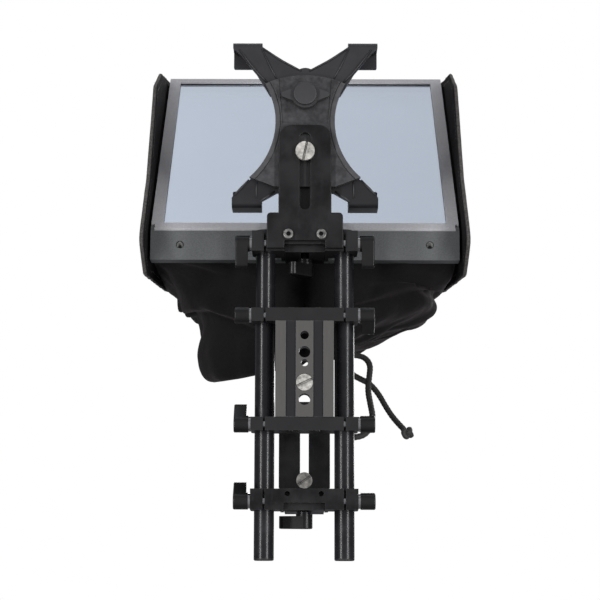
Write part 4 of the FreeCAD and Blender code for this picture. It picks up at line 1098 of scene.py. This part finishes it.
def overhand_knot(name, line, material):
    """The tight knot past a strand's end: a closed trefoil of slightly thinner cord."""
    along = (line[-1] - line[-3]).normalized()
    side = along.cross(Vector((0, 0, 1))).normalized()
    across = along.cross(side)
    middle = line[-1] + along * 4.8 * MM
    loop = []
    for step in range(180):
        t = math.tau * step / 180
        x, y, z = math.sin(t) + 2 * math.sin(2 * t), math.cos(t) - 2 * math.cos(2 * t), -math.sin(3 * t)
        loop.append(middle + (side * x + across * y) * 1.15 * MM + along * (z * 2.0 * MM))
    knot, _ = plaited_tube(name, loop, 2.0 * MM, material, closed=True)
    return knot


def drawstring(braid):
    """Both strands that leave the sleeve's hem, each with its knot."""
    for label, route in (("long", LONG_STRAND), ("short", SHORT_STRAND)):
        cord, line = plaited_tube(f"drawstring_{label}_braid", strand_line(route), CORD_RADIUS * MM, braid)
        knot = overhand_knot(f"drawstring_{label}_stopper", line, braid)
        length = sum((b - a).length for a, b in zip(line, line[1:]))
        for piece, node in ((cord, f"drawstring_{label}"), (knot, f"drawstring_{label}_knot")):
            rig.ride(piece, "screen")
            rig.replaces(piece, node)
            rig.slot(piece, "cord_braid")
        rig.cord(cord, exit=line[0], length=length, diameter=2 * CORD_RADIUS * MM, far_end="knot",
                stiffness="limp", lay="hanging", path=line, with_pieces=[knot])


# ---- moulded ribs of the tablet holder -------------------------------------------------------

def rib(points, width, height, first):
    """A half-round rib along flat points (x, y, z of its root), standing down from them."""
    line = [Vector(p) for p in points]
    around = 8
    made, faces = [], []
    for index, middle in enumerate(line):
        along = (line[min(index + 1, len(line) - 1)] - line[max(index - 1, 0)]).normalized()
        across = along.cross(Vector((0, 0, 1)))
        taper = 0.35 if index in (0, len(line) - 1) else 1.0
        for step in range(around):
            angle = math.pi * step / (around - 1)
            made.append((middle + across * (width / 2 * math.cos(angle))
                         - Vector((0, 0, height * taper * math.sin(angle)))) * MM)
    for index in range(len(line) - 1):
        for step in range(around):
            after = (step + 1) % around
            faces.append((first + index * around + step, first + (index + 1) * around + step,
                          first + (index + 1) * around + after, first + index * around + after))
    end = first + (len(line) - 1) * around
    faces.append(tuple(first + step for step in range(around)))
    faces.append(tuple(end + around - 1 - step for step in range(around)))
    return made, faces


def ribs(name, body, runs, material):
    """Several ribs as one piece, each also on the other side of the middle."""
    points, faces = [], []
    for run, width, height in runs:
        for side in (-1, 1):
            made, found = rib([(side * x, y, z) for x, y, z in run], width, height, len(points))
            points += made
            faces += found
    piece = add_mesh(name, points, faces, material)
    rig.ride(piece, body)
    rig.slot(piece, "holder_plastic")


def holder_ribs(nylon):
    """Stiffening ribs on the undersides of both jaws' arms."""
    upper, lower = 6.3, 6.0
    ribs("upper_jaw_ribs", "upper_jaw", (
        (((28.8, -209, upper), (36.6, -217, upper), (43, -225, upper), (50.8, -235.6, upper)), 1.8, 1.6),
        (((20.5, -209.5, upper), (27, -222, upper), (33.6, -236.4, upper)), 1.4, 1.2),
        (((3, -218.6, upper), (17.2, -226.4, upper), (32, -236, upper)), 1.6, 1.4)), nylon)
    ribs("lower_jaw_ribs", "holder", (
        (((42.6, -132.6, lower), (49, -126, lower), (53.6, -120.6, lower)), 1.8, 1.6),
        (((36.8, -133, lower), (37.0, -126, lower), (37.0, -118.2, lower)), 1.4, 1.2),
        (((23, -123.8, lower), (34.6, -115.6, lower)), 1.6, 1.4)), nylon)


# ---- studio ----------------------------------------------------------------------------------

def backdrop():
    """A plain pale floor, well below, so that the underside can be seen."""
    finish = Finish("floor_paint", (0.82, 0.82, 0.83), 0.7)
    cloud = finish.noise(0.8, 2)
    finish.tint(cloud, 0.98, 1.02)
    finish.bump(finish.noise(40, 3), 0.001, 0.2)
    half = 9.0
    floor = add_mesh("floor", [(-half, -half, 0), (half, -half, 0), (half, half, 0), (-half, half, 0)],
                     [(0, 1, 2, 3)], finish.material)
    floor.location = (0, 0, -1.95)
    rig.stage(floor)


def surroundings():
    """White where the camera sees past the object. As light it is bright from the talent's side, a
    little less so towards +X, and dim elsewhere."""
    world = bpy.data.worlds.new("studio")
    bpy.context.scene.world = world
    world.use_nodes = True
    tree = world.node_tree
    seen = tree.nodes["Background"]
    seen.inputs["Color"].default_value = (1, 1, 1, 1)
    place = add_node(tree, "ShaderNodeTexCoord").outputs["Generated"]
    toward = add_node(tree, "ShaderNodeVectorMath", {0: place, 1: (0, -1, 0)},
                      operation="DOT_PRODUCT").outputs["Value"]
    glow = add_node(tree, "ShaderNodeMapRange", {"Value": toward, "From Min": 0.55, "From Max": 0.95},
                    interpolation_type="SMOOTHSTEP").outputs[0]
    sideways = add_node(tree, "ShaderNodeSeparateXYZ", {0: place}).outputs["X"]
    fade = add_node(tree, "ShaderNodeMapRange", {"Value": sideways, "From Min": -0.10, "From Max": 0.10,
                                                 "To Min": 1.0, "To Max": 0.83}).outputs[0]
    faded = add_node(tree, "ShaderNodeMath", {0: glow, 1: fade}, operation="MULTIPLY").outputs[0]
    shade = add_node(tree, "ShaderNodeMix", {0: faded, 6: (0.16, 0.16, 0.17, 1), 7: (0.93, 0.96, 1.0, 1)},
                     data_type="RGBA").outputs[2]
    lit = add_node(tree, "ShaderNodeBackground", {"Color": shade}).outputs[0]
    to_camera = add_node(tree, "ShaderNodeLightPath").outputs["Is Camera Ray"]
    mixed = add_node(tree, "ShaderNodeMixShader", {0: to_camera, 1: lit, 2: seen.outputs[0]})
    tree.links.new(mixed.outputs[0], tree.nodes["World Output"].inputs["Surface"])


def softbox(name, place, target, size, power):
    """A rectangular light, its second size along the object's length."""
    light = bpy.data.lights.new(name, "AREA")
    light.shape = "RECTANGLE"
    light.size, light.size_y = size
    light.energy = power
    holder = bpy.data.objects.new(name, light)
    back = (Vector(place) - Vector(target)).normalized()
    across = Vector((0, 1, 0)).cross(back).normalized()
    pose = Matrix((across, back.cross(across), back)).transposed().to_4x4()
    pose.translation = place
    holder.matrix_world = pose
    holder.visible_camera = False
    bpy.context.scene.collection.objects.link(holder)


def studio():
    bpy.context.scene.view_settings.view_transform = "Standard"
    backdrop()
    surroundings()
    for name, side in (("strip_left", -1), ("strip_right", 1)):
        softbox(name, (side * 0.9, 0.05, -1.05), (0, -0.05, 0.05), (0.15, 2.0), 15)
    softbox("overhead", (0.5, -0.7, 1.7), (0, -0.06, 0.1), (1.4, 1.4), 24)


def camera():
    """Below the object and a little to its rear, looking up at its underside."""
    lean = math.radians(9.43)
    axes = Matrix(((1, 0, 0), (0, -math.cos(lean), -math.sin(lean)),
                   (0, -math.sin(lean), math.cos(lean))))
    roll = Matrix.Rotation(math.radians(-0.14), 3, "Z")
    swing = Matrix.Rotation(math.radians(0.20), 3, "Y")
    right, up, forward = roll @ swing @ axes
    lens = bpy.data.cameras.new("camera")
    lens.sensor_width = 36
    lens.lens = 106.08
    holder = bpy.data.objects.new("camera", lens)
    pose = Matrix((right, up, -forward)).transposed().to_4x4()
    pose.translation = (0.0011, 0.178, -1.307)
    holder.matrix_world = pose
    bpy.context.scene.collection.objects.link(holder)
    bpy.context.scene.camera = holder


def keep_sizes():
    """Writes the CAD box and the finished model's box."""
    boxes = {"cad": [list(corner) for corner in cad_box],
             "visual": [list(corner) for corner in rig.bounds()]}
    with open(SIZE_FILE, "w") as file:
        json.dump(boxes, file)


camera()
drawstring(braided())
dress_cad_parts()
pile = velvet_pile("board_pile", True)
cloth = soft_cloth()
hood_boards(pile, velvet_pile("top_pile", False), thread())
front_band(cloth)
fixing_tapes(pile)
cloth_sleeve(cloth)
holder_ribs(moulded("rib_nylon", 0.024, 0.45, 1100, 0.00006, 1.08))
studio()
keep_sizes()
